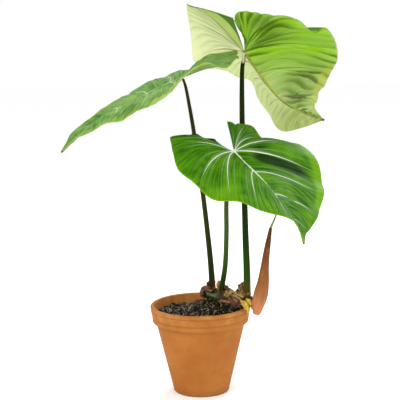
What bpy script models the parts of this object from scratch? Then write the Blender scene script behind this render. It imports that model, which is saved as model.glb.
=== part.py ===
"""Philodendron gloriosum in a terracotta pot.

Metres, +Z up. The pot's axis is the Z axis while the plant is modelled, and the last step slides
everything sideways so that the middle of the plant's own box stands over the origin.
Three upright stalks and one new leaf in its sheath stand on a creeping rhizome, which lies on the
soil and reaches over the rim at the right. Places below are in millimetres and turned to metres once.
"""
import math

import bmesh
import bpy
import numpy as np
from mathutils import Vector

MM = 0.001
GAP = 0.3
MERGE = 0.00005

# Pot
POT_HEIGHT = 123.0
RIM_RADIUS = 70.0
RIM_BAND_HEIGHT = 23.5
RIM_BAND_FOOT_RADIUS = 67.0
BAND_ROUND = 1.6
BAND_STEP_FALL = 2.5
BAND_STEP_OUT = 0.6
BODY_TOP_RADIUS = 61.8
BASE_RADIUS = 39.5
WALL = 5.5
FLOOR = 6.0
FLOOR_CORNER = 3.0
DRAIN_RADIUS = 6.5
LIP_ROUND = 2.2
FOOT_ROUND = 2.5
POT_STEPS = 56

# Soil
SOIL_EDGE_HEIGHT = 110.0
MOUND_HEIGHT = 11.0
MOUND_CENTRE = (14.0, 8.0)
MOUND_SPREAD = 30.0
DIP_DEPTH = 6.0
DIP_CENTRE = (-34.0, -22.0)
DIP_SPREAD = 15.0
LUMP_HEIGHT = 5.5
LUMP_COUNT = 110
SOIL_COLUMNS = 54
SOIL_RINGS = 17
SOIL_WALL_HEIGHT = 60.0
SOIL_LIP_DROP = 2.5

# Rhizome: where it creeps, its thickness, and the roots that go down into the soil
RHIZOME_PATH = [(8, 36, 128), (18, 25, 130), (30, 5, 131), (46, -5, 131.5),
                (63, -15, 132), (72, -27, 131), (77, -37, 127)]
RHIZOME_RADII = [6.0, 8.0, 8.3, 7.6, 8.4, 7.6, 5.5]
RHIZOME_COUNT = 22
ROOT_RADIUS = 1.5
ROOT_DEPTH = 34.0
ROOT_TOP = 126.0
ROOT_NECK = 119.0
ROOT_SPREAD = 7.0
ROOT_DRIFT = 5.0
ROOT_STARTS = [(11, 32), (17, 24), (24, 14), (31, 6), (40, -3), (50, -6)]
ROOT_COUNT = 7
FRESH_COUNT = 8

# Leaf stalks: a path up from the rhizome, and the radius at its foot and top
STALKS = {
    "petiole_left": ([(18, 25, 134), (17.5, 24.5, 142), (15, 22, 182), (11, 16, 227), (6, 8, 276),
                      (-5, -10, 364), (-11, -18, 404)], 4.8, 2.6),
    "petiole_middle": ([(30, 3, 134), (30, 2.5, 142), (35, -8, 177), (37, -26, 228), (37, -42, 270),
                        (39, -62, 310)], 4.0, 3.1),
    "petiole_right": ([(65, -15, 134), (65, -14.5, 142), (65, -8, 172), (64, 2, 218), (63.5, 10, 257),
                       (62, 24, 335), (62, 33, 417), (63, 36, 448)], 5.4, 3.5),
}
STALK_CLEARANCE = 0.85
NECK_LENGTH = 9.0
STALK_COLOURS = {"petiole_left": (0.075, 0.10, 0.03), "petiole_middle": (0.12, 0.20, 0.05),
                 "petiole_right": (0.045, 0.075, 0.02)}

# Leaf blades. rib: the midrib from the stalk to the tip. left and right: where the blade's main veins
# meet the margin, from the notch between the basal lobes round to the tip, on the leaf's own left and
# right hand as its upper face is seen with the tip pointing away. up: the upper face's way at the stalk.
BLADES = {
    "blade_top": {
        "stalk": "petiole_right",
        "up": (0.10, 0.42, 0.90),
        "rib": [(66, 40, 470), (84, 62, 443), (104, 88, 415), (125, 112, 394), (149, 138, 379),
                (190, 178, 360)],
        "left": [(47, -5, 516), (-2, 55, 537), (-8, 112, 510), (-1, 144, 453), (52, 162, 433),
                 (82, 170, 417), (106, 178, 371), (135, 182, 342)],
        "right": [(51, -10, 514), (59, -38, 525), (115, -44, 519), (171, -22, 504), (193, 20, 464),
                  (185, 68, 433), (175, 114, 400), (175, 152, 383)],
        "notch": 3.0,
        "ruffle": 3.2,
        "arch": (0.05, 0.05),
        "colour": (0.16, 0.36, 0.035),
    },
    "blade_left": {
        "stalk": "petiole_left",
        "up": (-0.30, -0.05, 0.95),
        "rib": [(-19, -25, 440), (-45, -33, 430), (-75, -42, 416), (-112, -52, 398), (-143, -60, 379),
                (-179, -70, 348)],
        "left": [(49, -43, 469), (54, -87, 468), (35, -123, 459), (-1, -139, 458), (-35, -139, 425),
                 (-78, -133, 403), (-117, -113, 387), (-154, -89, 369)],
        "right": [(40, -11, 461), (53, 37, 470), (22, 75, 466), (-18, 90, 441), (-57, 79, 430),
                  (-107, 45, 407), (-143, -1, 387), (-169, -43, 368)],
        "notch": 3.0,
        "ruffle": 2.0,
        "arch": (0.05, 0.05),
        "colour": (0.10, 0.30, 0.05),
    },
    "blade_front": {
        "stalk": "petiole_middle",
        "up": (0.20, -0.45, 0.87),
        "rib": [(47, -85, 347), (60, -105, 335), (74, -127, 323), (89, -151, 308), (104, -175, 291),
                (121, -197, 268), (127, -207, 249)],
        "left": [(40, -23, 380), (66, -1, 374), (93, 7, 355), (141, -7, 347), (162, -47, 313),
                 (161, -91, 287), (149, -140, 270), (135, -181, 257)],
        "right": [(23, -27, 357), (-1, -30, 360), (-23, -67, 366), (-32, -130, 360), (-23, -167, 335),
                  (12, -191, 307), (59, -210, 298), (113, -215, 278)],
        "notch": 3.0,
        "ruffle": 2.4,
        "arch": (0.06, 0.09),
        "colour": (0.09, 0.27, 0.03),
    },
}
BLADE_THICKNESS = 0.8
RIB_THICKNESS = 2.2
PLEAT = 0.08
VEIN_BACK = 0.16
FAN_VEINS = 3.3
VEINS = 8
ROWS_PER_VEIN = 4
BLADE_COLUMNS = 9

# New leaf: the sheath that wraps it, and its rolled green tip
SHEATH_PATH = [(76.5, -40, 119), (77.5, -39.5, 124), (79, -39, 132.5), (82, -37.5, 143), (86, -36, 162),
               (88.5, -33, 182), (91.5, -30, 203), (97, -26, 234)]
SHEATH_RADII = [4.5, 8.5, 9.2, 7.6, 5.6, 4.9, 4.1, 2.2]
ROLL_PATH = [(97, -26, 234), (101, -25, 243), (104.5, -24, 252), (106, -23, 262)]
ROLL_RADII = [1.9, 1.7, 1.3, 0.8]

# Papery remains of old sheaths, as collars round a stalk's foot: stalk, first and last angle in
# degrees, foot and top radius, height above the rhizome's axis
COLLARS = {
    "dry_sheath_right": ("petiole_right", 118, 262, 7.4, 11.5, 18.0),
    "dry_sheath_middle": ("petiole_middle", -75, 70, 6.0, 8.5, 13.0),
    "dry_sheath_left": ("petiole_left", 60, 215, 5.4, 7.2, 15.0),
}
COLLAR_THICKNESS = 0.8
COLLAR_FOOT = 3.4

# Fresh bits: an orange bud, and two yellow root tips that start at the rim
FRESH = {
    "bud": ([(25, 14, 136), (25.5, 13.5, 142), (26, 13, 147), (26.5, 12.5, 150.5)], [1.4, 1.6, 3.2, 1.6],
            (0.80, 0.30, 0.03)),
    "root_tip_upper": ([(60, -20, 129), (62.5, -25, 127.5), (64, -30, 127)], [1.9, 1.8, 1.0],
                       (0.75, 0.35, 0.05)),
    "root_tip_lower": ([(67, -27, 128), (69, -33, 127), (70.5, -37, 124)], [1.9, 1.7, 0.9],
                       (0.85, 0.50, 0.10)),
}

TERRACOTTA = (0.52, 0.19, 0.065)
SOIL_COLOUR = (0.020, 0.014, 0.010)
RHIZOME_COLOUR = (0.045, 0.050, 0.018)
SHEATH_COLOUR = (0.45, 0.17, 0.08)
ROLL_COLOUR = (0.16, 0.30, 0.05)
DRY_COLOUR = (0.38, 0.23, 0.11)


def clear_scene():
    """Remove every object and mesh that the file starts with."""
    for item in list(bpy.data.objects):
        bpy.data.objects.remove(item, do_unlink=True)
    for mesh in list(bpy.data.meshes):
        bpy.data.meshes.remove(mesh)


def collection(name):
    """Make a collection under the scene's own."""
    made = bpy.data.collections.new(name)
    bpy.context.scene.collection.children.link(made)
    return made


def material(name, colour, roughness):
    """A Principled material with one colour and roughness."""
    made = bpy.data.materials.new(name)
    made.use_nodes = True
    shader = made.node_tree.nodes["Principled BSDF"]
    shader.inputs["Base Color"].default_value = (*colour, 1.0)
    shader.inputs["Roughness"].default_value = roughness
    made.diffuse_color = (*colour, 1.0)
    return made


def new_object(name, mesh, home, finish=None):
    """Put a mesh in a collection as a named object with its material."""
    made = bpy.data.objects.new(name, mesh)
    home.objects.link(made)
    if finish is not None:
        mesh.materials.clear()
        mesh.materials.append(finish)
    return made


def smooth(mesh, degrees=40):
    """Shade a mesh smooth, with edges sharper than the angle left sharp."""
    mesh.shade_smooth()
    mesh.set_sharp_from_angle(angle=math.radians(degrees))


def spline(points, count, power=0.5):
    """Read count points, evenly spaced in parameter, from a Catmull-Rom curve through the given ones."""
    pts = np.array(points, float)
    ends = [2 * pts[0] - pts[1], *pts, 2 * pts[-1] - pts[-2]]
    pts = np.array(ends)
    steps = np.linalg.norm(np.diff(pts, axis=0), axis=1) ** power
    knots = np.concatenate([[0.0], np.cumsum(np.maximum(steps, 1e-6))])
    where = np.linspace(knots[1], knots[-2], count)
    cell = np.clip(np.searchsorted(knots, where, side="right") - 1, 1, len(pts) - 3)
    t0, t1, t2, t3 = (knots[cell + k][:, None] for k in (-1, 0, 1, 2))
    p0, p1, p2, p3 = (pts[cell + k] for k in (-1, 0, 1, 2))
    t = where[:, None]
    a1 = (t1 - t) / (t1 - t0) * p0 + (t - t0) / (t1 - t0) * p1
    a2 = (t2 - t) / (t2 - t1) * p1 + (t - t1) / (t2 - t1) * p2
    a3 = (t3 - t) / (t3 - t2) * p2 + (t - t2) / (t3 - t2) * p3
    b1 = (t2 - t) / (t2 - t0) * a1 + (t - t0) / (t2 - t0) * a2
    b2 = (t3 - t) / (t3 - t1) * a2 + (t - t1) / (t3 - t1) * a3
    return (t2 - t) / (t2 - t1) * b1 + (t - t1) / (t2 - t1) * b2


def tube(name, points, radii, home, finish=None, count=None, grow=0.0, sides=3):
    """A round tube along a smooth path, made as a curve with a bevel and filled caps, then a mesh.

    radii follow the path's points. grow adds to the radius and to both ends, for a cutter.
    """
    count = count or 3 * len(points)
    path = spline(points, count)
    size = spline([(r, 0, 0) for r in radii], count)[:, 0] + grow
    if grow:
        first = path[0] - path[1]
        last = path[-1] - path[-2]
        path[0] += first / np.linalg.norm(first) * grow
        path[-1] += last / np.linalg.norm(last) * grow
    curve = bpy.data.curves.new(name, "CURVE")
    curve.dimensions = "3D"
    curve.bevel_depth = MM
    curve.bevel_resolution = sides
    curve.use_fill_caps = True
    line = curve.splines.new("POLY")
    line.points.add(count - 1)
    for point, place, radius in zip(line.points, path, size):
        point.co = (*(place * MM), 1.0)
        point.radius = radius
    guide = bpy.data.objects.new(name + "_guide", curve)
    home.objects.link(guide)
    depsgraph = bpy.context.evaluated_depsgraph_get()
    mesh = bpy.data.meshes.new_from_object(guide.evaluated_get(depsgraph))
    matrix = guide.matrix_world.copy()
    bpy.data.objects.remove(guide, do_unlink=True)
    weld(mesh)
    made = new_object(name, mesh, home, finish)
    made.matrix_world = matrix
    smooth(mesh, 50)
    return made


def weld(mesh):
    """Merge a mesh's loose caps and doubled points and turn its faces outwards."""
    shape = bmesh.new()
    shape.from_mesh(mesh)
    bmesh.ops.remove_doubles(shape, verts=shape.verts, dist=MERGE)
    bmesh.ops.dissolve_degenerate(shape, edges=shape.edges, dist=MERGE)
    bmesh.ops.recalc_face_normals(shape, faces=shape.faces)
    shape.to_mesh(mesh)
    shape.free()


def boolean(target, operation, tools):
    """Join or cut target with a collection of tools, apply the result, and remove the tools."""
    group = bpy.data.collections.new("tools")
    bpy.context.scene.collection.children.link(group)
    for item in tools:
        for holder in list(item.users_collection):
            holder.objects.unlink(item)
        group.objects.link(item)
    change = target.modifiers.new("boolean", "BOOLEAN")
    change.operation = operation
    change.operand_type = "COLLECTION"
    change.collection = group
    change.solver = "EXACT"
    bpy.context.view_layer.update()
    depsgraph = bpy.context.evaluated_depsgraph_get()
    mesh = bpy.data.meshes.new_from_object(target.evaluated_get(depsgraph))
    target.modifiers.clear()
    old = target.data
    target.data = mesh
    bpy.data.meshes.remove(old)
    for item in tools:
        bpy.data.objects.remove(item, do_unlink=True)
    bpy.data.collections.remove(group)
    weld(mesh)
    smooth(mesh)


def arc(centre, radius, first, last, steps):
    """Points of an arc in the profile's plane, from the first to the last angle in degrees."""
    angles = np.radians(np.linspace(first, last, steps))
    return [(centre[0] + radius * math.cos(a), centre[1] + radius * math.sin(a)) for a in angles]


def wall_radius(height):
    """The pot's outer body radius at a height, on the straight taper from base to band."""
    share = height / (POT_HEIGHT - RIM_BAND_HEIGHT)
    return BASE_RADIUS + (BODY_TOP_RADIUS - BASE_RADIUS) * share


def inner_radius(height):
    """The pot's inner radius: the taper less the wall, up to the lip."""
    top = RIM_RADIUS - WALL
    bottom = BASE_RADIUS - WALL
    share = (height - FLOOR) / (POT_HEIGHT - FLOOR)
    return bottom + (top - bottom) * share


def make_pot(home):
    """The pot, turned from a closed profile that leaves a plain drain hole in its floor."""
    band_foot = POT_HEIGHT - RIM_BAND_HEIGHT
    lip = arc((RIM_RADIUS - LIP_ROUND, POT_HEIGHT - LIP_ROUND), LIP_ROUND, 90, 0, 4)
    band = arc((RIM_BAND_FOOT_RADIUS - BAND_ROUND, band_foot + BAND_ROUND), BAND_ROUND, 0, -90, 3)
    under = [(BODY_TOP_RADIUS + BAND_STEP_OUT, band_foot),
             (wall_radius(band_foot - BAND_STEP_FALL), band_foot - BAND_STEP_FALL)]
    foot = arc((BASE_RADIUS - FOOT_ROUND, FOOT_ROUND), FOOT_ROUND, 0, -90, 4)
    hole = [(DRAIN_RADIUS, 0.0), (DRAIN_RADIUS, FLOOR)]
    inside = [(inner_radius(FLOOR) - FLOOR_CORNER, FLOOR),
              (inner_radius(FLOOR + FLOOR_CORNER), FLOOR + FLOOR_CORNER)]
    inner_lip = arc((inner_radius(POT_HEIGHT) + LIP_ROUND, POT_HEIGHT - LIP_ROUND), LIP_ROUND, 180, 90, 4)
    profile = lip + band + under + foot + hole + inside + inner_lip
    mesh = bpy.data.meshes.new("pot")
    points = [(x * MM, 0.0, z * MM) for x, z in profile]
    edges = [(i, (i + 1) % len(points)) for i in range(len(points))]
    mesh.from_pydata(points, edges, [])
    pot = new_object("pot", mesh, home, material("terracotta", TERRACOTTA, 0.85))
    turn = pot.modifiers.new("turn", "SCREW")
    turn.axis = "Z"
    turn.steps = POT_STEPS
    turn.render_steps = POT_STEPS
    turn.use_merge_vertices = True
    turn.merge_threshold = MERGE
    turn.use_smooth_shade = True
    return pot


def soil_height(x, y):
    """Height of the soil's top: a level, a mound by the rhizome, a dip, and rounded lumps.

    A lump is a cap of the height left by the distance to the nearest of many seeded points.
    """
    mound = MOUND_HEIGHT * np.exp(-((x - MOUND_CENTRE[0]) ** 2 + (y - MOUND_CENTRE[1]) ** 2)
                                  / MOUND_SPREAD ** 2)
    dip = DIP_DEPTH * np.exp(-((x - DIP_CENTRE[0]) ** 2 + (y - DIP_CENTRE[1]) ** 2) / DIP_SPREAD ** 2)
    draw = np.random.default_rng(7)
    reach = RIM_RADIUS * np.sqrt(draw.random(LUMP_COUNT))
    turn = 2 * np.pi * draw.random(LUMP_COUNT)
    size = draw.uniform(5.0, 9.5, LUMP_COUNT)
    tall = draw.uniform(0.35, 1.0, LUMP_COUNT)
    away = np.hypot(x[..., None] - reach * np.cos(turn), y[..., None] - reach * np.sin(turn))
    lumps = (np.clip(1 - (away / size) ** 2, 0, None) ** 0.5 * tall).max(axis=-1)
    return SOIL_EDGE_HEIGHT + mound - dip + LUMP_HEIGHT * (lumps - 0.4)


def make_soil(home):
    """The soil, filling the pot to its floor: rings up the wall, then inwards over the lumpy top."""
    angle = np.linspace(0, 2 * np.pi, SOIL_COLUMNS, endpoint=False)
    rings = []
    for height in (FLOOR + GAP, FLOOR + FLOOR_CORNER + GAP, SOIL_WALL_HEIGHT):
        radius = inner_radius(height) - GAP - (FLOOR_CORNER if height < FLOOR + 1 else 0.0)
        rings.append(np.stack([radius * np.cos(angle), radius * np.sin(angle),
                               np.full_like(angle, height)], axis=1))
    edge = inner_radius(SOIL_EDGE_HEIGHT - SOIL_LIP_DROP) - 2 * GAP
    for ring in range(SOIL_RINGS):
        radius = edge * (1 - ring / SOIL_RINGS)
        twist = angle + 0.5 * (ring % 2) * (angle[1] - angle[0])
        x = radius * np.cos(twist)
        y = radius * np.sin(twist)
        height = soil_height(x, y)
        if ring == 0:
            height = np.full_like(height, SOIL_EDGE_HEIGHT - SOIL_LIP_DROP)
        rings.append(np.stack([x, y, height], axis=1))
    top = np.array([[0.0, 0.0, soil_height(np.array(0.0), np.array(0.0))]])
    bottom = np.array([[0.0, 0.0, FLOOR + GAP]])
    points = np.concatenate([bottom, *rings, top]) * MM
    count = SOIL_COLUMNS
    faces = []
    for i in range(count):
        after = (i + 1) % count
        faces.append((0, 1 + after, 1 + i))
        last = 1 + (len(rings) - 1) * count
        faces.append((last + i, last + after, len(points) - 1))
        for ring in range(len(rings) - 1):
            low = 1 + ring * count
            high = low + count
            faces.append((low + i, low + after, high + after, high + i))
    mesh = bpy.data.meshes.new("soil")
    mesh.from_pydata(points.tolist(), [], faces)
    weld(mesh)
    smooth(mesh)
    return new_object("soil", mesh, home, material("soil", SOIL_COLOUR, 0.95))


def root_paths():
    """Paths of the roots: down from the rhizome's underside, leaning outwards as they go."""
    draw = np.random.default_rng(3)
    for x, y in ROOT_STARTS:
        lean = draw.uniform(-ROOT_SPREAD, ROOT_SPREAD, 2)
        middle = (x + 0.5 * lean[0] - 0.4 * ROOT_DRIFT, y + 0.5 * lean[1], ROOT_NECK - 0.5 * ROOT_DEPTH)
        tip = (x + lean[0] - ROOT_DRIFT, y + lean[1], ROOT_NECK - ROOT_DEPTH)
        yield [(x, y, ROOT_TOP), (x + 0.1 * lean[0], y + 0.1 * lean[1], ROOT_NECK), middle, tip]


def make_rhizome(home, tools, soil, stalks):
    """The creeping stem with its roots fused on, seated in the soil, with a socket for each stalk."""
    radii = [ROOT_RADIUS * 1.3, ROOT_RADIUS, ROOT_RADIUS, ROOT_RADIUS * 0.6]
    finish = material("rhizome", RHIZOME_COLOUR, 0.5)
    rhizome = tube("rhizome", RHIZOME_PATH, RHIZOME_RADII, home, finish, count=RHIZOME_COUNT, sides=4)
    roots = [tube("root", path, radii, tools, count=ROOT_COUNT, sides=1) for path in root_paths()]
    boolean(rhizome, "UNION", roots)
    seats = [tube("seat", RHIZOME_PATH, RHIZOME_RADII, tools, count=RHIZOME_COUNT, grow=GAP, sides=4)]
    seats += [tube("seat", path, radii, tools, count=ROOT_COUNT, grow=GAP, sides=1) for path in root_paths()]
    boolean(soil, "DIFFERENCE", seats)
    sockets = []
    for name in stalks:
        path, foot, _ = STALKS[name]
        sockets.append(tube("socket", path[:2], [foot, foot], tools, count=3, grow=GAP, sides=4))
    for path, sizes, _ in FRESH.values():
        sockets.append(tube("socket", path, sizes, tools, count=FRESH_COUNT, grow=GAP, sides=2))
    boolean(rhizome, "DIFFERENCE", sockets)
    return rhizome


def make_stalk(name, home):
    """A leaf stalk: from its socket in the rhizome up to just under its blade."""
    path, foot, top = STALKS[name]
    blade = next(b for b in BLADES.values() if b["stalk"] == name)
    up = np.array(blade["up"]) / np.linalg.norm(blade["up"])
    end = np.array(blade["rib"][0], float)
    reach = RIB_THICKNESS + STALK_CLEARANCE
    path = [*path, tuple(end - up * (reach + NECK_LENGTH)), tuple(end - up * reach)]
    lengths = np.linspace(0, 1, len(path))
    radii = [foot + (top - foot) * share ** 0.8 for share in lengths]
    radii[1] = foot
    radii[-2] = 0.95 * top
    radii[-1] = 0.62 * top
    finish = material(name, STALK_COLOURS[name], 0.45)
    return tube(name, path, radii, home, finish, count=26, sides=3)


def half_surface(blade, hand, rows, columns):
    """Points of one half of a blade, as an array of rows by columns by xyz, in millimetres.

    Row u runs along vein u, from the notch (0) round to the tip (VEINS). Column v runs out along the
    vein, from the midrib (0) to the margin (1). The basal veins all start at the stalk; the others
    start further and further along the midrib. A vein is a quadratic curve whose middle is pulled
    back from the tip and raised by the arch. The blade swells between veins and waves at its margin.
    """
    u = np.linspace(0, VEINS, rows)
    v = np.linspace(0, 1, columns)
    rib = spline(blade["rib"], 201)
    share = np.clip((u - FAN_VEINS) / (VEINS - FAN_VEINS), 0, 1) ** 1.15
    place = share * 200
    start = np.stack([np.interp(place, np.arange(201), rib[:, k]) for k in range(3)], axis=1)
    along = np.gradient(rib, axis=0)
    along /= np.linalg.norm(along, axis=1)[:, None]
    ahead = np.stack([np.interp(place, np.arange(201), along[:, k]) for k in range(3)], axis=1)
    stations = [*blade[hand], blade["rib"][-1]]
    dense = spline(stations, 16 * VEINS + 1, power=0.0)
    end = np.stack([np.interp(u * 16, np.arange(len(dense)), dense[:, k]) for k in range(3)], axis=1)
    chord = end - start
    length = np.linalg.norm(chord, axis=1)[:, None]
    sign = 1.0 if hand == "left" else -1.0
    normal = np.cross(ahead, chord) * sign
    up = np.array(blade["up"]) / np.linalg.norm(blade["up"])
    normal += 1e-3 * up
    normal /= np.linalg.norm(normal, axis=1)[:, None]
    mixing = np.clip((u - 1.5) / 2.5, 0, 1)[:, None]
    normal = normal * mixing + up * (1 - mixing)
    back = VEIN_BACK * np.clip(u / 2.0, 0.3, 1)[:, None]
    arch = blade["arch"][0 if hand == "left" else 1]
    aside = np.cross(up, ahead) * sign * blade["notch"] * np.clip(1 - u / FAN_VEINS, 0, 1)[:, None]
    middle = 0.5 * (start + end) - back * length * ahead + arch * length * normal + aside
    w = v[None, :, None]
    surface = ((1 - w) ** 2 * start[:, None] + 2 * w * (1 - w) * middle[:, None] + w ** 2 * end[:, None])
    spread = np.linalg.norm(np.gradient(surface, u, axis=0), axis=2)
    swell = spread * np.abs(np.sin(np.pi * u))[:, None] * np.sin(np.pi * v ** 0.8)[None, :] ** 1.2
    fade = np.clip((VEINS - u) / 2.0, 0, 1)[:, None]
    wave = np.sin(2 * np.pi * 0.85 * u + (0.6 if hand == "left" else 2.1))[:, None] * v[None, :] ** 4
    lift = PLEAT * swell * fade + blade["ruffle"] * wave * fade * np.clip(u, 0, 1)[:, None]
    return surface + lift[:, :, None] * surface_normal(surface, sign)


def surface_normal(surface, sign):
    """Unit normals of a grid of points on its upper side, from differences along rows and columns."""
    down = np.gradient(surface, axis=0)
    out = np.gradient(surface, axis=1)
    normal = np.cross(down, out) * sign
    size = np.linalg.norm(normal, axis=2, keepdims=True)
    normal = np.where(size > 1e-4, normal / np.maximum(size, 1e-9), 0.0)
    normal[:, 0] = normal[:, 1]
    normal[-1] = normal[-2]
    return normal


def make_blade(name, home):
    """A leaf blade: both halves joined along the midrib and given their thickness downwards."""
    blade = BLADES[name]
    rows = VEINS * ROWS_PER_VEIN + 1
    points = []
    faces = []
    weights = []
    for hand in ("left", "right"):
        surface = half_surface(blade, hand, rows, BLADE_COLUMNS)
        base = len(points)
        points.extend((surface.reshape(-1, 3) * MM).tolist())
        for row in range(rows):
            for column in range(BLADE_COLUMNS):
                weights.append(1.0 if column == 0 else 0.0)
        for row in range(rows - 1):
            for column in range(BLADE_COLUMNS - 1):
                a = base + row * BLADE_COLUMNS + column
                b, c, d = a + 1, a + 1 + BLADE_COLUMNS, a + BLADE_COLUMNS
                if hand == "left":
                    faces.extend([(a, d, c), (a, c, b)])
                else:
                    faces.extend([(a, c, d), (a, b, c)])
    mesh = bpy.data.meshes.new(name)
    mesh.from_pydata(points, [], faces)
    made = new_object(name, mesh, home, material(name, blade["colour"], 0.5))
    group = made.vertex_groups.new(name="rib")
    for index, weight in enumerate(weights):
        if weight:
            group.add([index], weight, "REPLACE")
    shape = bmesh.new()
    shape.from_mesh(mesh)
    bmesh.ops.remove_doubles(shape, verts=shape.verts, dist=MERGE)
    bmesh.ops.dissolve_degenerate(shape, edges=shape.edges, dist=MERGE)
    shape.to_mesh(mesh)
    shape.free()
    mesh.shade_smooth()
    wall = made.modifiers.new("thickness", "SOLIDIFY")
    wall.thickness = RIB_THICKNESS * MM
    wall.offset = -1.0
    wall.vertex_group = "rib"
    wall.thickness_vertex_group = BLADE_THICKNESS / RIB_THICKNESS
    return made


def make_collar(name, home, tools):
    """A torn papery collar: part of a flared ring round a stalk's foot, cut to sit on the rhizome."""
    stalk, first, last, foot, top, height = COLLARS[name]
    centre = np.array(STALKS[stalk][0][1], float)
    rows, columns = 6, 13
    rise = np.linspace(0, 1, rows)[:, None]
    angle = np.radians(np.linspace(first, last, columns))[None, :]
    ragged = 0.72 + 0.28 * np.abs(np.sin(2.7 * angle + 0.6)) * np.abs(np.cos(5.1 * angle))
    radius = foot + (top - foot) * rise ** 1.4
    x = centre[0] + radius * np.cos(angle)
    y = centre[1] + radius * np.sin(angle)
    z = centre[2] - COLLAR_FOOT + height * rise * ragged
    points = np.stack([x, y, z + 0 * x], axis=2).reshape(-1, 3) * MM
    faces = []
    for row in range(rows - 1):
        for column in range(columns - 1):
            a = row * columns + column
            faces.extend([(a, a + 1, a + 1 + columns), (a, a + 1 + columns, a + columns)])
    mesh = bpy.data.meshes.new(name)
    mesh.from_pydata(points.tolist(), [], faces)
    mesh.shade_smooth()
    made = new_object(name, mesh, home, material(name, DRY_COLOUR, 0.8))
    wall = made.modifiers.new("thickness", "SOLIDIFY")
    wall.thickness = COLLAR_THICKNESS * MM
    wall.offset = 1.0
    boolean(made, "DIFFERENCE",
            [tube("seat", RHIZOME_PATH, RHIZOME_RADII, tools, count=RHIZOME_COUNT, grow=GAP, sides=4)])
    return made


def make_new_leaf(home, tools):
    """The sheath, hollowed where the rhizome's end goes into it, and the rolled tip above it."""
    sheath = tube("new_leaf_sheath", SHEATH_PATH, SHEATH_RADII, home,
                  material("sheath", SHEATH_COLOUR, 0.5), count=20, sides=4)
    boolean(sheath, "DIFFERENCE",
            [tube("socket", RHIZOME_PATH, RHIZOME_RADII, tools, count=RHIZOME_COUNT, grow=GAP, sides=4)])
    first = np.array(ROLL_PATH[0], float)
    step = first - np.array(SHEATH_PATH[-2], float)
    raised = first + step / np.linalg.norm(step) * 2 * GAP
    tube("new_leaf_roll", [tuple(raised), *ROLL_PATH[1:]], ROLL_RADII, home,
         material("new_leaf_roll", ROLL_COLOUR, 0.45), count=9, sides=2)


def centre_on_box(objects):
    """Slide every piece sideways so that the middle of their common box is over the origin."""
    bpy.context.view_layer.update()
    depsgraph = bpy.context.evaluated_depsgraph_get()
    low = Vector((1e9, 1e9, 1e9))
    high = -low
    for item in objects:
        seen = item.evaluated_get(depsgraph)
        for corner in seen.data.vertices:
            place = item.matrix_world @ corner.co
            for k in range(3):
                low[k] = min(low[k], place[k])
                high[k] = max(high[k], place[k])
    shift = Vector((-(low.x + high.x) / 2, -(low.y + high.y) / 2, 0.0))
    for item in objects:
        item.location = item.location + shift
    bpy.context.view_layer.update()
    print("pot axis at", tuple(round(v / MM, 2) for v in shift), "mm")
    print("box", tuple(round((high[k] - low[k]) / MM, 1) for k in range(3)), "mm, low", round(low.z / MM, 3))


def main():
    clear_scene()
    plant = collection("philodendron_gloriosum")
    tools = collection("cutters")
    make_pot(plant)
    soil = make_soil(plant)
    make_rhizome(plant, tools, soil, list(STALKS))
    for name in STALKS:
        make_stalk(name, plant)
    for name in BLADES:
        make_blade(name, plant)
    make_new_leaf(plant, tools)
    for name in COLLARS:
        make_collar(name, plant, tools)
    for name, (path, radii, colour) in FRESH.items():
        tube(name, path, radii, plant, material(name, colour, 0.5), count=FRESH_COUNT, sides=2)
    centre_on_box(list(plant.objects))


main()
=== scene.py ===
# %% [markdown]
# A philodendron gloriosum in a clay pot.
# The solid model gives the frame: every piece below takes the place of one of its nodes, at the same
# place and size, with a finer surface and a real finish. Leaves, stalks and the creeping stem are
# surfaces of two parameters, worked out as whole arrays, and each finish is a small net of shader nodes.

# %% Load the frame
import math

import bmesh
import bpy
import numpy as np
from mathutils import Matrix, Vector


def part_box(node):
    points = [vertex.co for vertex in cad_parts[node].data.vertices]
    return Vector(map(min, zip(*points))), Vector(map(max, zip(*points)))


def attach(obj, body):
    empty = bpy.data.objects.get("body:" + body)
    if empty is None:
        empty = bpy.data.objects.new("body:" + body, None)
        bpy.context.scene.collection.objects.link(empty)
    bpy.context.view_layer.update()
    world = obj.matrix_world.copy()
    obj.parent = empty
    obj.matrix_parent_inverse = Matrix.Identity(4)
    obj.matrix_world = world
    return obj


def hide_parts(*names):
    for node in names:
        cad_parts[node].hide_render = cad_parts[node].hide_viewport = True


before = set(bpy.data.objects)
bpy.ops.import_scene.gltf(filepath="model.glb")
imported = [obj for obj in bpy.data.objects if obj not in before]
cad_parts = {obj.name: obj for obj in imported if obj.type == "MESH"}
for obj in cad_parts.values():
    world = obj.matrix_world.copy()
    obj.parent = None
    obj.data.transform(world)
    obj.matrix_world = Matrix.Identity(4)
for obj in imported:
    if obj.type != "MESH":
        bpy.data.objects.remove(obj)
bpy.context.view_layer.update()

MM = 0.001
pot_low, pot_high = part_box("pot")
AXIS = np.array([(pot_low[0] + pot_high[0]) / 2, (pot_low[1] + pot_high[1]) / 2, 0.0])
POT_HEIGHT = (pot_high[2] - pot_low[2]) / MM
RIM_RADIUS = (pot_high[0] - pot_low[0]) / 2 / MM
print("pot axis", AXIS.round(4), "height", round(POT_HEIGHT, 1), "rim radius", round(RIM_RADIUS, 1))

# %% [markdown]
# The camera stands where the photograph's did: about 1.6 m in front of the pot and half a metre up,
# looking a little down. It could be aimed with a constraint, but the angles are plain numbers, found
# from how round the pot's rim and foot look, so they are set directly.

# %% Camera
CAMERA_PLACE = (1.78, -1600.0, 539.1)
CAMERA_PITCH = 9.55
CAMERA_ROLL = -0.88
FOCAL_PIXELS = 1180.9
FRAME_PIXELS = 400.0
SENSOR = 36.0

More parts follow.
